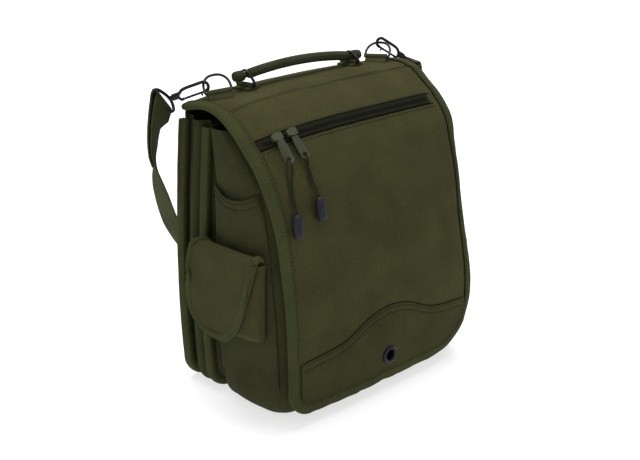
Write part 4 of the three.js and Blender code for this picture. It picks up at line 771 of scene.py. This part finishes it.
CORDS = {
    "left": ([(-119.9, 239.8, 5.9), (-118.9, 234, 4.4), (-117.9, 226, 2.6), (-116.8, 217, 2), (-115.6, 208, 2),
              (-114.4, 200, 2.4), (-113.4, 193, 4.6)],
             [(-106.6, 192, 4.2), (-108, 199, 2.6), (-111.6, 208, 2), (-113.8, 217, 2), (-115.4, 226, 2.6),
              (-116.6, 234, 4.4), (-117.5, 239.8, 5.9)]),
    "right": ([(-89.6, 228.7, 5.9), (-90.4, 223, 4.4), (-90.9, 215, 2.4), (-91, 207, 2), (-90.6, 200, 3), (-89.6, 194, 7.4)],
              [(-87.8, 192, 1.9), (-87.6, 199, 1.9), (-87.8, 207, 2), (-87.9, 215, 2.4), (-87.6, 223, 4.4),
               (-87.2, 228.7, 5.9)]),
}
CORD_ENDS = {"left": (-118.7, 240.2, -2.2), "right": (-88.4, 229.1, -1.4)}


def tab_hole(name):
    """The middle of a pull tab's hole and the way its plate faces, from the CAD plate's box."""
    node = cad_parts[name]
    co = np.empty(len(node.data.vertices) * 3, dtype=np.float32)
    node.data.vertices.foreach_get("co", co)
    co = co.reshape(-1, 3).astype(float) / MM
    middle = co.mean(axis=0)
    ways = np.linalg.svd(co - middle, full_matrices=False)[2]
    down = ways[0] if ways[0][2] < 0 else -ways[0]
    face = ways[2] if ways[2][1] < 0 else -ways[2]
    end = ((co - middle) @ down).max()
    return middle + down * (end - 5), face


def make_cords():
    for side, (up, down) in CORDS.items():
        hole, face = tab_hole(f"pull_tab_{side}")
        route = [flap_face(x, s) + on_flap(x, s)[1] * h for x, s, h in up]
        route += [hole + face * d for d in (2.6, 0, -2.6)]
        route += [flap_face(x, s) + on_flap(x, s)[1] * h for x, s, h in down]
        path = spline(route, 120)
        curve = bpy.data.curves.new(f"Pull_cord_{side}", "CURVE")
        curve.dimensions = "3D"
        curve.bevel_depth = 0.8 * MM
        curve.bevel_resolution = 4
        run = curve.splines.new("POLY")
        run.points.add(len(path) - 1)
        run.points.foreach_set("co", np.column_stack([path * MM, np.ones(len(path))]).astype(np.float32).ravel())
        curve.materials.append(plain("Cord", colour("cord"), 0.8))
        cord = bpy.data.objects.new(f"Pull_cord_{side}", curve)
        bpy.context.scene.collection.objects.link(cord)
        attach(cord, "bag")
        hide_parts(f"pull_cord_{side}")

        x, s, lean = CORD_ENDS[side]
        top, normal = on_flap(x, s)
        top = flap_face(x, s) + normal * 5.9
        below = flap_face(x + lean, s + 23) + normal * 5.9
        axis = unit(below - top)
        profile = np.array([(0.3, 0), (2.6, 0), (3.2, 0.5), (4.4, 2.8), (5.2, 6), (5.5, 9.2), (5.5, 17),
                            (5.4, 20), (5.1, 22.2), (4.3, 23), (0.3, 23)])
        profile[:, 0] += 0.25 * np.sin(profile[:, 1] * 2.2) * (profile[:, 0] > 4)
        end = build(f"Cord end {side}", [lathe(profile, top, axis, 32)], plain("Rubber", (0.0123, 0.013, 0.0168), 0.55))
        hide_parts(f"cord_end_{side}")


# Pockets
def pocket_point(at, z, height, side):
    a = (at - 0.2) / 0.7
    row = np.clip((z - 40) / 195, 0, 1.1)
    inset = strip_at(FRONT_STRIP, at)[0]
    mouth = 3.6 * np.sin(math.pi * np.clip(a, 0, 1)) * row**3
    x = half_at(z) - inset + 0.8 + mouth + height
    return np.stack([side * x, FRONT_BACK + (front_at(z) - FRONT_BACK) * at, z + 0 * x], -1)


def make_pockets():
    at = np.linspace(0.2, 0.9, 50)
    t = np.linspace(0, 1, 70)[:, None]
    hem = 235 + 9 * (2 * (at - 0.2) / 0.7 - 1) ** 2
    z = 40 + (hem - 40) * t
    grid = np.broadcast_to(at, z.shape)
    puff = 1.0 * noise(z / 50, grid * 4, 61) + 0.4 * noise(z / 16, grid * 9, 63)
    for side, name in ((-1, "left"), (1, "right")):
        outer = pocket_point(grid, z, 1.7 + puff * np.sin(math.pi * (grid - 0.2) / 0.7), side)
        inner = pocket_point(grid, z, 0.0, side)
        # The pockets' side cloth carries the same painted shade as the gussets.
        pocket = build(f"Side pocket {name}", [slab(outer, inner, np.stack([grid * 140, z], -1))], cloth("side"))
        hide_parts(f"side_pocket_{name}")
        rows = [stitches(pocket_point(at, hem - drop, 2.1, side), (side, 0, 0)) for drop in (3, 9)]
        build(f"Side pocket {name} stitches", rows, thread())


# Pouch
POUCH_FLAP = np.array([
    (-8.5, 183.5, 26, -57), (-4.5, 187, 29, -59), (2, 187.5, 32, -61), (6, 184.5, 34, -61), (7.6, 178, 36, -60),
    (8.2, 166, 39, -57), (8.6, 150, 41.5, -52), (9.2, 130, 42, -46), (9.2, 113, 38.5, -40), (8.8, 101, 29, -31),
    (8.4, 94, 18, -22), (8.2, 90, 5, -11),
])


def pouch_ring(z, inset, turn):
    """Half a rounded box in plan: y = mid + half c, x between back and front by s, where c and s are
    cos and sin of the turn to the power 0.35."""
    c = np.sign(np.cos(turn)) * np.abs(np.cos(turn)) ** 0.35
    s = np.abs(np.sin(turn)) ** 0.35
    y = -13 + (45 - inset) * c
    front = 163 + 0.05 * (y + 13) + 4.4 * (1 - c**2) - inset
    back = half_at(z) + 3.0 + 0 * y
    return np.stack([-(back + (front - back) * s), y, z + 0 * y], -1)


def pouch_flap_point(row, share, height=0.0):
    row, share = np.broadcast_arrays(np.asarray(row, float), np.asarray(share, float))
    rows = smooth_rows(row, POUCH_FLAP, np.arange(12.0))
    y = rows[..., 2] + (rows[..., 3] - rows[..., 2]) * share
    x = -(163 + 0.05 * (y + 13) + rows[..., 0] - 3.5 * ((y + 13) / 55) ** 2)
    point = np.stack([x, y, rows[..., 1] + 0 * y], -1)
    slope = smooth_rows(row + 0.01, POUCH_FLAP, np.arange(12.0)) - smooth_rows(row - 0.01, POUCH_FLAP, np.arange(12.0))
    tangent = unit(np.stack([-slope[..., 0], slope[..., 1]], -1))
    normal = np.stack([tangent[..., 1], 0 * y, -tangent[..., 0]], -1)
    return point + normal * np.asarray(height)[..., None], normal


def make_pouch():
    turn = np.linspace(0, math.pi, 90)[None, :]
    up = np.concatenate([np.linspace(0, 0.12, 14)[:-1], np.linspace(0.12, 1, 40)])[:, None]
    inset = np.interp(up, (0, 0.035, 0.1, 0.2), (9, 3.4, 0.5, 0))
    z = 93 + (180 - 93) * up
    puff = 1.6 * np.sin(math.pi * up) * np.sin(turn) ** 2 + 0.5 * noise(z / 18, turn * 3, 71)
    outer = pouch_ring(z, inset - puff, turn)
    inner = pouch_ring(z, inset + 2, turn)
    uv = np.stack(np.broadcast_arrays(turn * 45, z), -1)
    floor = tube(np.stack([pouch_ring(np.full((), h), 8.0, turn[0]) for h in (93.2, 95.2)]))
    body = build("Pouch", [slab(outer, inner, uv), floor], cloth("pouch"))
    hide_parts("pouch_body")

    row, share = np.linspace(0, 11, 90)[:, None], np.linspace(0, 1, 50)[None, :]
    swell = 0.5 * noise(row * 1.3, share * 4, 81) + 0.2 * noise(row * 4, share * 12, 83)
    face = pouch_flap_point(row, share, 0.4 + swell)[0]
    back = pouch_flap_point(row, share, -1.6 + 0 * swell)[0]
    lid = build("Pouch flap", [slab(face, back, np.stack(np.broadcast_arrays(share * 90, row * 9), -1))], cloth("pouch"))
    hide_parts("pouch_flap")

    run = np.concatenate([np.linspace(0, 10.4, 110), np.full(60, 10.4), np.linspace(10.4, 0, 110)])
    side = np.concatenate([np.zeros(110), np.linspace(0, 1, 60), np.ones(110)])
    flat = np.column_stack([run, side])
    width = 1.0 * np.linalg.norm(pouch_flap_point(run, 1.0)[0] - pouch_flap_point(run, 0.0)[0], axis=1)
    keep = np.concatenate([[True], np.any(np.diff(flat, axis=0) != 0, axis=1)])
    flat, width = flat[keep], width[keep]
    inset = 4.0 / width
    flat[:, 1] = inset + flat[:, 1] * (1 - 2 * inset)
    centre, normal = pouch_flap_point(flat[:, 0], flat[:, 1])
    centre = spline(centre[::4], 240)
    normal = unit(spline(normal[::4], 240))
    tape = build("Pouch flap binding", [tube(sweep(centre, normal, flat_section(8.6, 4.2, 7)))], cloth("binding", 260, 0.5))
    along = unit(np.gradient(centre, axis=0))
    inward = unit(np.cross(normal, along))
    rows = [stitches(centre - inward * 3.0 + normal * 2.05, normal)]
    rows.append(stitches(pouch_ring(np.full((), 172.0), -0.9, np.linspace(0.3, math.pi - 0.3, 90)), (-1, 0, 0)))
    build("Pouch stitches", rows, thread())


# Handle
GRIP = np.array([
    (-1.21, 3.2), (-1.195, 5.0), (-1.15, 5.6), (-1.055, 5.6), (-1.042, 3.2), (-1.02, 3.0), (-0.98, 3.0),
    (-0.958, 3.1), (-0.945, 5.0), (-0.9, 5.2), (0.9, 5.2), (0.945, 5.0), (0.958, 3.1), (0.98, 3.0), (1.02, 3.0),
    (1.042, 3.2), (1.055, 5.6), (1.15, 5.6), (1.195, 5.0), (1.21, 3.2),
])
HANDLE_RING = [(0, 0), (0.5, 0), (0.86, 0), (0.95, 0.02), (1, 0.14), (0.88, 0.36), (0.40, 0.84), (0.231, 0.97), (0, 1.03)]
D_RING = [(0, 0), (0.6, 0), (0.93, 0.01), (1, 0.1), (1, 0.25), (0.97, 0.5), (0.8, 0.76), (0.45, 0.95), (0, 1)]
SWIVEL = [(0, 0), (0.5, 0), (0.91, 0), (1, 0.1), (1, 0.32), (0.96, 0.5), (0.68, 0.76), (0.3, 0.95), (0, 1)]


def mirrored(shape, centre, along, up, half, rise):
    """The points of a ring from one half of its shape."""
    shape = np.asarray(shape, float)
    both = np.vstack([shape, shape[-2:0:-1] * (-1, 1)])
    return centre + along * both[:, :1] * half + up * both[:, 1:] * rise


def grip_z(along):
    return 339.5 + (336.4 - 339.5) * (along + 1) / 2 + 6 * (1 - np.minimum(1, along**2))


def make_handle():
    along = np.concatenate([np.linspace(a, b, 5)[:-1] for a, b in zip(GRIP[:9, 0], GRIP[1:10, 0])])
    along = np.concatenate([along, np.linspace(-0.9, 0.9, 90), -along[::-1]])
    radius = np.interp(along, GRIP[:, 0], GRIP[:, 1])
    path = np.column_stack([along * 76, np.full(len(along), 53.37), grip_z(along)])
    section = round_section(1.0, 28)[None] * radius[:, None, None]
    section[..., 0] *= 1 + 0.05 * noise(along * 8, 0 * along, 91)[:, None]
    grip = build("Handle grip", [tube(sweep(path, (0, 0, 1), section))], cloth("grip", 180, 0.7))
    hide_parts("handle_grip")
    inner = np.linspace(-0.93, 0.93, 120)
    seam = np.column_stack([inner * 76, np.full(120, 53.37 - 4.6), grip_z(inner) - 2.6])
    build("Handle stitches", [stitches(seam, (0, -0.87, -0.5))], thread())

    turn = np.radians(np.linspace(205, -25, 17))
    hump = np.vstack([[(-8, -0.2), (-8, 1.5), (-7.4, 2.0), (-4.4, 2.1), (-3.4, 2.4)],
                      np.column_stack([3 * np.cos(turn), 3.4 + 3 * np.sin(turn)]),
                      [(3.4, 2.4), (4.4, 2.1), (7.4, 2.0), (8, 1.5), (8, -0.2)]])
    for side, name in ((-1, "left"), (1, "right")):
        x, s = side * 76.0, 65.0
        run = np.linspace(-12, 12, 13)
        base, normal = on_flap(x, s)
        normal = unit(np.cross(flap_face(x, s + 1) - flap_face(x, s - 1), flap_face(x + 1, s) - flap_face(x - 1, s)))
        base = flap_face(x, s)
        down = unit(flap_face(x, s + 1) - flap_face(x, s - 1))
        down = unit(down - normal * (down @ normal))
        swell = 1 + 0.05 * np.cos(run / 12 * math.pi / 2)[:, None, None]
        section = hump[None] * swell
        across = np.cross(down, normal)
        rings = (base + down * run[:, None])[:, None] + across * section[..., :1] + normal * section[..., 1:]
        tab = build(f"Handle tab {name}", [tube(rings)], cloth("webbing", 150, 0.8), 50)
        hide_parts(f"handle_tab_{name}")
        centre = base + normal * 3.4
        bar = unit(down * (0, 1, 1))
        up = np.cross(bar, (1, 0, 0))
        up = up if up[2] > 0 else -up
        rise = (grip_z(float(side)) - centre[2] + 4.5) / up[2]
        ring = wire(mirrored(HANDLE_RING, centre, bar, up, 14.6, rise), 1.5, (1, 0, 0), 110)
        ring = build(f"Handle ring {name}", [ring], black_steel())
        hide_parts(f"handle_ring_{name}")


# Hooks
HOOKS = {
    "left": {
        "ring": ((-113.381, 51.324, 327.787), (0.29998, 0.72337, 0.62190), (0.87902, -0.46286, 0.11439)),
        "barrel": (-142.371, 86.298, 322.164), "aim": (0.65, -0.677, 0.343), "up": (-0.194, 0.262, 0.946),
        "eye": (0.667, 0.293, -0.686),
    },
    "right": {
        "ring": ((113.138, 46.381, 330.413), (0.70807, 0.43689, 0.55477), (0.50168, -0.86412, 0.04020)),
        "barrel": (153.944, 46.529, 326.158), "aim": (-0.78, 0.3, 0.55), "up": (0.52, -0.1, 0.85),
        "eye": (0.34, 0.935, -0.03),
    },
}


def make_hooks():
    for side, data in HOOKS.items():
        centre, up, along = (unit(np.array(v, float)) if k else np.array(v) for k, v in enumerate(data["ring"]))
        face = np.cross(along, up)
        ring = build(f"Strap ring {side}", [wire(mirrored(D_RING, centre, along, up, 14, 23), 1.4, face, 110)], black_steel())
        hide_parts(f"strap_ring_{side}")

        turn = np.radians(np.linspace(-148, 148, 25))
        loop = np.vstack([np.column_stack([3.8 * np.cos(turn), 3.8 * np.sin(turn)]),
                          [(-5, 2.1), (-13.6, 2.0), (-14.2, 1.4), (-14.2, -1.4), (-13.6, -2.0), (-5, -2.1)]])
        run = np.linspace(-12, 12, 13)[:, None]
        rings = (centre + along * run)[:, None] + up * loop[:, :1] + face * loop[:, 1:]
        tab = build(f"Strap ring tab {side}", [tube(rings)], cloth("webbing", 150, 0.8), 50)
        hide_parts(f"strap_ring_tab_{side}")

        barrel, aim = np.array(data["barrel"]), unit(np.array(data["aim"]))
        lift = np.array(data["up"])
        lift = unit(lift - aim * (lift @ aim))
        flat = np.cross(aim, lift)

        def at(points):
            points = np.asarray(points, float)
            return barrel + aim * points[:, :1] + lift * points[:, 1:]

        turn = np.radians(np.linspace(90, -90, 13))
        bow = np.vstack([[(0, 1), (4, 1.5), (8, 4), (12, 4.8), (25, 5)],
                         np.column_stack([31 + 5 * np.cos(turn), 5 * np.sin(turn)]), [(29.6, -5)]])
        hook = build(f"Snap hook {side}", [
            wire(at(bow), 1.7, flat, 120, False), wire(at([(0, -1), (2.4, -2), (4.8, -5), (7.9, -5)]), 1.5, flat, 40, False),
            rod(*at([(-4, 0), (4, 0)]), 3.6, 0.6),
        ], black_steel())
        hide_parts(f"snap_hook_{side}")
        nub = at([(26.8, -5), (26.8, -8.4)])
        gate = build(f"Hook gate {side}", [rod(*at([(8.3, -5), (29.2, -5)]), 1.2), rod(*nub, 1.0)], black_steel(),
                     ride=f"gate_{side}")
        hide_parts(f"hook_gate_{side}")
        eye = unit(np.array(data["eye"]))
        eye = unit(eye - aim * (eye @ aim))
        middle = barrel - aim * 16
        swivel = build(f"Hook swivel {side}", [
            wire(mirrored(SWIVEL, middle, eye, aim, 22.3, 9.3), 1.7, np.cross(eye, aim), 120),
            rod(*at([(-7.4, 0), (-4.2, 0)]), 2.4, 0.4),
        ], black_steel())
        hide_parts(f"hook_swivel_{side}")


# Strap
STRAP = [
    (-158.5, 91, 305, 0.72, 0.36, -0.6), (-161, 98, 286, 0.76, 0.64, -0.1), (-159.5, 104, 262, 0.69, 0.72, 0),
    (-156, 107, 240, 0.45, 0.89, 0), (-150, 110, 217, 0.2, 0.98, 0), (-137, 114, 181, 0.08, 1, 0),
    (-123, 116, 155, 0, 1, 0), (-95, 117, 118, 0, 1, 0), (-50, 117, 88, 0, 1, 0), (0, 117, 78, 0, 1, 0),
    (50, 117, 88, 0, 1, 0), (95, 117, 118, 0, 1, 0), (123, 116, 155, 0, 1, 0), (137, 114, 181, -0.08, 1, 0),
    (152, 106, 215, -0.2, 0.98, 0), (163, 86, 245, -0.2, 0.98, 0), (171, 62, 275, 0.1, 0.99, 0),
    (176, 45.5, 298, 0.32, 0.94, 0),
]
END_GAPS = {"left": (5.4, 4.6, 3.9, 3.4, 3.1, 2.9), "right": (5.4, 4.4, 3.6, 3.1, 2.9)}


def strap_turn(side, first):
    """Rows round a swivel's bar, from the main run to the sewn end."""
    data = HOOKS[side]
    aim, bar = unit(np.array(data["aim"])), unit(np.array(data["eye"]))
    centre = np.array(data["barrel"]) - aim * 16
    away = np.array(first[:3]) - centre
    away = unit(away - bar * (away @ bar))
    outer = unit(np.cross(away, bar))
    turn = np.radians((0, 45, 90, 135, 180))[:, None]
    rows = centre + outer * 3.1 * np.cos(turn) - away * 3.1 * np.sin(turn)
    return np.hstack([rows, np.tile(bar, (5, 1))])


def turned_end(rows, gaps, turn):
    """An end turned back: rows beside the main run's own rows, nearest the bar first."""
    gaps = np.array(gaps)[:, None]
    n = len(gaps)
    along = unit(rows[2:n + 2, :3] - rows[:n, :3])
    face = unit(np.cross(along, rows[1:n + 1, 3:]))
    face *= np.sign(face @ (turn[-1, :3] - turn[0, :3]))[:, None]
    return np.hstack([rows[1:n + 1, :3] + face * gaps, rows[1:n + 1, 3:]])


def make_strap():
    main = np.array(STRAP, float)
    left, right = strap_turn("left", main[0]), strap_turn("right", main[-1])
    main = np.vstack([left[:1], main, right[:1]])
    half = np.arange(0.5, len(main) - 1, 0.5)
    main = smooth_rows(half, main, np.arange(len(main), dtype=float))
    rows = np.vstack([
        turned_end(main, END_GAPS["left"], left)[::-1], left[::-1], main, right,
        turned_end(main[::-1], END_GAPS["right"], right),
    ])
    fine = spline(rows[:, :3], 700)
    far = np.concatenate([[0], np.cumsum(np.linalg.norm(np.diff(fine, axis=0), axis=1))])
    spot = [np.argmin(np.linalg.norm(fine - p, axis=1)) for p in rows[:, :3]]
    spot = np.maximum.accumulate(spot)
    width = unit(np.stack([np.interp(far, far[spot], rows[:, 3 + k]) for k in range(3)], 1))
    along = unit(np.gradient(fine, axis=0))
    face = unit(np.cross(along, width))
    section = flat_section(38, 2, 5)
    rings = fine[:, None] + width[:, None] * section[None, :, :1] + face[:, None] * section[None, :, 1:]
    strap = build("Shoulder strap", [tube(rings)], cloth("webbing", 150, 0.8), 50)
    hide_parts("shoulder_strap")


# Stage
def make_stage():
    scene = bpy.context.scene
    data = bpy.data.cameras.new("Camera")
    data.lens = 69.02
    data.sensor_width = 36
    data.shift_x = -1.8 / 640
    data.clip_start = 0.05
    camera = bpy.data.objects.new("Camera", data)
    scene.collection.objects.link(camera)
    eye, target = np.array([-0.8821, -0.9051, 0.6372]), np.array([0, 0.018, 0.1573])
    camera.location = eye
    camera.rotation_euler = mathutils.Vector(target - eye).to_track_quat("-Z", "Y").to_euler()
    scene.camera = camera

    world = bpy.data.worlds.new("White room")
    world.use_nodes = True
    tree = world.node_tree
    room, seen, mix = tree.nodes["Background"], tree.nodes.new("ShaderNodeBackground"), tree.nodes.new("ShaderNodeMixShader")
    room.inputs["Color"].default_value = (1, 1, 1, 1)
    room.inputs["Strength"].default_value = 0.42
    path = tree.nodes.new("ShaderNodeLightPath")
    tree.links.new(path.outputs["Is Camera Ray"], mix.inputs[0])
    tree.links.new(room.outputs[0], mix.inputs[1])
    tree.links.new(seen.outputs[0], mix.inputs[2])
    seen.inputs["Color"].default_value = (1, 1, 1, 1)
    tree.links.new(mix.outputs[0], tree.nodes["World Output"].inputs["Surface"])
    scene.world = world
    scene.view_settings.view_transform = "Standard"

    mesh = bpy.data.meshes.new("Floor")
    mesh.from_pydata([(-30, -30, -0.0003), (30, -30, -0.0003), (30, 30, -0.0003), (-30, 30, -0.0003)], [], [(0, 1, 2, 3)])
    paper = plain("Floor", (0.5, 0.5, 0.5), 0.9)
    glow = paper.node_tree.nodes["Principled BSDF"]
    glow.inputs["Emission Color"].default_value = (1, 1, 1, 1)
    glow.inputs["Emission Strength"].default_value = 0.68
    glow.inputs["Specular IOR Level"].default_value = 0.1
    mesh.materials.append(paper)
    floor = bpy.data.objects.new("Floor", mesh)
    scene.collection.objects.link(floor)
    sun = bpy.data.lights.new("Soft sky", "SUN")
    sun.energy = 3.1
    sun.angle = math.radians(50)
    obj = bpy.data.objects.new("Soft sky", sun)
    obj.location = (0.1, 0.15, 2)
    obj.rotation_euler = (math.radians(-14), math.radians(8), 0)
    scene.collection.objects.link(obj)


class FieldBagColours(bpy.types.PropertyGroup):
    """Colours of the bag's cloths and fittings, as linear values."""

    canvas: bpy.props.FloatVectorProperty(
        name="Canvas", description="Colour of the canvas", subtype="COLOR", min=0, max=1, default=(0.053, 0.051, 0.0195))
    low_panel: bpy.props.FloatVectorProperty(
        name="Lower panel", description="Colour of the lower panel", subtype="COLOR", min=0, max=1, default=(0.045, 0.044, 0.0175))
    pouch: bpy.props.FloatVectorProperty(
        name="Pouch", description="Colour of the pouch", subtype="COLOR", min=0, max=1, default=(0.05, 0.05, 0.0195))
    # The side cloth is the canvas's olive darkened as painted shade, for the gussets that turn away from the light.
    side: bpy.props.FloatVectorProperty(
        name="Side cloth", description="Colour of the side cloth", subtype="COLOR", min=0, max=1, default=(0.04, 0.042, 0.0175))
    binding: bpy.props.FloatVectorProperty(
        name="Binding", description="Colour of the binding", subtype="COLOR", min=0, max=1, default=(0.05, 0.055, 0.0205))
    webbing: bpy.props.FloatVectorProperty(
        name="Webbing", description="Colour of the webbing", subtype="COLOR", min=0, max=1, default=(0.054, 0.059, 0.0245))
    grip: bpy.props.FloatVectorProperty(
        name="Grip", description="Colour of the grip", subtype="COLOR", min=0, max=1, default=(0.046, 0.051, 0.025))
    tape: bpy.props.FloatVectorProperty(
        name="Zip tape", description="Colour of the zip tape", subtype="COLOR", min=0, max=1, default=(0.016, 0.016, 0.01))
    chain: bpy.props.FloatVectorProperty(
        name="Zip coil", description="Colour of the zip coil", subtype="COLOR", min=0, max=1, default=(0.012, 0.012, 0.009))
    thread: bpy.props.FloatVectorProperty(
        name="Thread", description="Colour of the thread", subtype="COLOR", min=0, max=1, default=(0.01, 0.0095, 0.004))
    seam: bpy.props.FloatVectorProperty(
        name="Seam shadow", description="Colour of the seam shadow", subtype="COLOR", min=0, max=1, default=(0.01, 0.01, 0.005))
    cord: bpy.props.FloatVectorProperty(
        name="Cord", description="Colour of the cord", subtype="COLOR", min=0, max=1, default=(0.022, 0.024, 0.014))


class FieldBagSewing(bpy.types.PropertyGroup):
    """Sizes of the stitching and strength of the cloth's mottle."""

    stitch: bpy.props.FloatProperty(name="Stitch", description="Length of one stitch", default=0.0027, unit="LENGTH")
    stitch_gap: bpy.props.FloatProperty(name="Gap", description="Gap between stitches", default=0.0011, unit="LENGTH")
    thread: bpy.props.FloatProperty(name="Thread", description="Thickness of the thread", default=0.0007, unit="LENGTH")
    mottle: bpy.props.FloatProperty(name="Mottle", description="Unevenness of the cloth's dye", default=0.5, unit="NONE")


class BAG_OT_stage(bpy.types.Operator):
    """Camera, white room, floor and soft light."""

    bl_idname = "field_bag.stage"
    bl_label = "Stage"

    def execute(self, context):
        make_stage()
        return {"FINISHED"}


class BAG_OT_cords(bpy.types.Operator):
    """The two pull cords with their rubber ends."""

    bl_idname = "field_bag.cords"
    bl_label = "Pull cords"

    def execute(self, context):
        make_cords()
        return {"FINISHED"}


class BAG_OT_body(bpy.types.Operator):
    """Both compartments and the tapes round their edges."""

    bl_idname = "field_bag.body"
    bl_label = "Body"

    def execute(self, context):
        make_body()
        return {"FINISHED"}


class BAG_OT_flap(bpy.types.Operator):
    """The flap with its binding, lower panel, painted seam shadows and eyelet."""

    bl_idname = "field_bag.flap"
    bl_label = "Flap"

    def execute(self, context):
        make_flap()
        return {"FINISHED"}


class BAG_OT_zip(bpy.types.Operator):
    """The zip's tape, coil and stitching, and the finish of its sliders."""

    bl_idname = "field_bag.zip"
    bl_label = "Zip"

    def execute(self, context):
        make_zip()
        return {"FINISHED"}


class BAG_OT_pockets(bpy.types.Operator):
    """The flat pockets on both gussets."""

    bl_idname = "field_bag.pockets"
    bl_label = "Side pockets"

    def execute(self, context):
        make_pockets()
        return {"FINISHED"}


class BAG_OT_pouch(bpy.types.Operator):
    """The pouch on the left side with its bound flap."""

    bl_idname = "field_bag.pouch"
    bl_label = "Pouch"

    def execute(self, context):
        make_pouch()
        return {"FINISHED"}


class BAG_OT_handle(bpy.types.Operator):
    """The padded handle with its rings and tabs."""

    bl_idname = "field_bag.handle"
    bl_label = "Handle"

    def execute(self, context):
        make_handle()
        return {"FINISHED"}


class BAG_OT_hooks(bpy.types.Operator):
    """The strap rings, their tabs, and the snap hooks with gates and swivels."""

    bl_idname = "field_bag.hooks"
    bl_label = "Hooks"

    def execute(self, context):
        make_hooks()
        return {"FINISHED"}


class BAG_OT_strap(bpy.types.Operator):
    """The shoulder strap with its turned-back ends."""

    bl_idname = "field_bag.strap"
    bl_label = "Strap"

    def execute(self, context):
        make_strap()
        return {"FINISHED"}


class BAG_PT_panel(bpy.types.Panel):
    """Buttons and settings for the bag."""

    bl_label = "Field bag"
    bl_space_type = "VIEW_3D"
    bl_region_type = "UI"
    bl_category = "Bag"

    def draw(self, context):
        for step in STEPS:
            self.layout.operator(step.bl_idname)
        for group in (context.scene.field_bag, context.scene.field_bag_colours):
            for name in group.__annotations__:
                self.layout.prop(group, name)


STEPS = (
    BAG_OT_stage, BAG_OT_cords, BAG_OT_body, BAG_OT_flap, BAG_OT_zip, BAG_OT_pockets, BAG_OT_pouch,
    BAG_OT_handle, BAG_OT_hooks, BAG_OT_strap,
)
CLASSES = (FieldBagColours, FieldBagSewing, *STEPS, BAG_PT_panel)


def register():
    for cls in CLASSES:
        bpy.utils.register_class(cls)
    bpy.types.Scene.field_bag = bpy.props.PointerProperty(type=FieldBagSewing)
    bpy.types.Scene.field_bag_colours = bpy.props.PointerProperty(type=FieldBagColours)


def unregister():
    del bpy.types.Scene.field_bag_colours
    del bpy.types.Scene.field_bag
    for cls in reversed(CLASSES):
        bpy.utils.unregister_class(cls)


def main():
    register()
    bpy.ops.field_bag.stage()
    bpy.ops.field_bag.cords()
    bpy.ops.field_bag.body()
    bpy.ops.field_bag.flap()
    bpy.ops.field_bag.zip()
    bpy.ops.field_bag.pockets()
    bpy.ops.field_bag.pouch()
    bpy.ops.field_bag.handle()
    bpy.ops.field_bag.hooks()
    bpy.ops.field_bag.strap()
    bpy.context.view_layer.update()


if __name__ == "__main__":
    main()
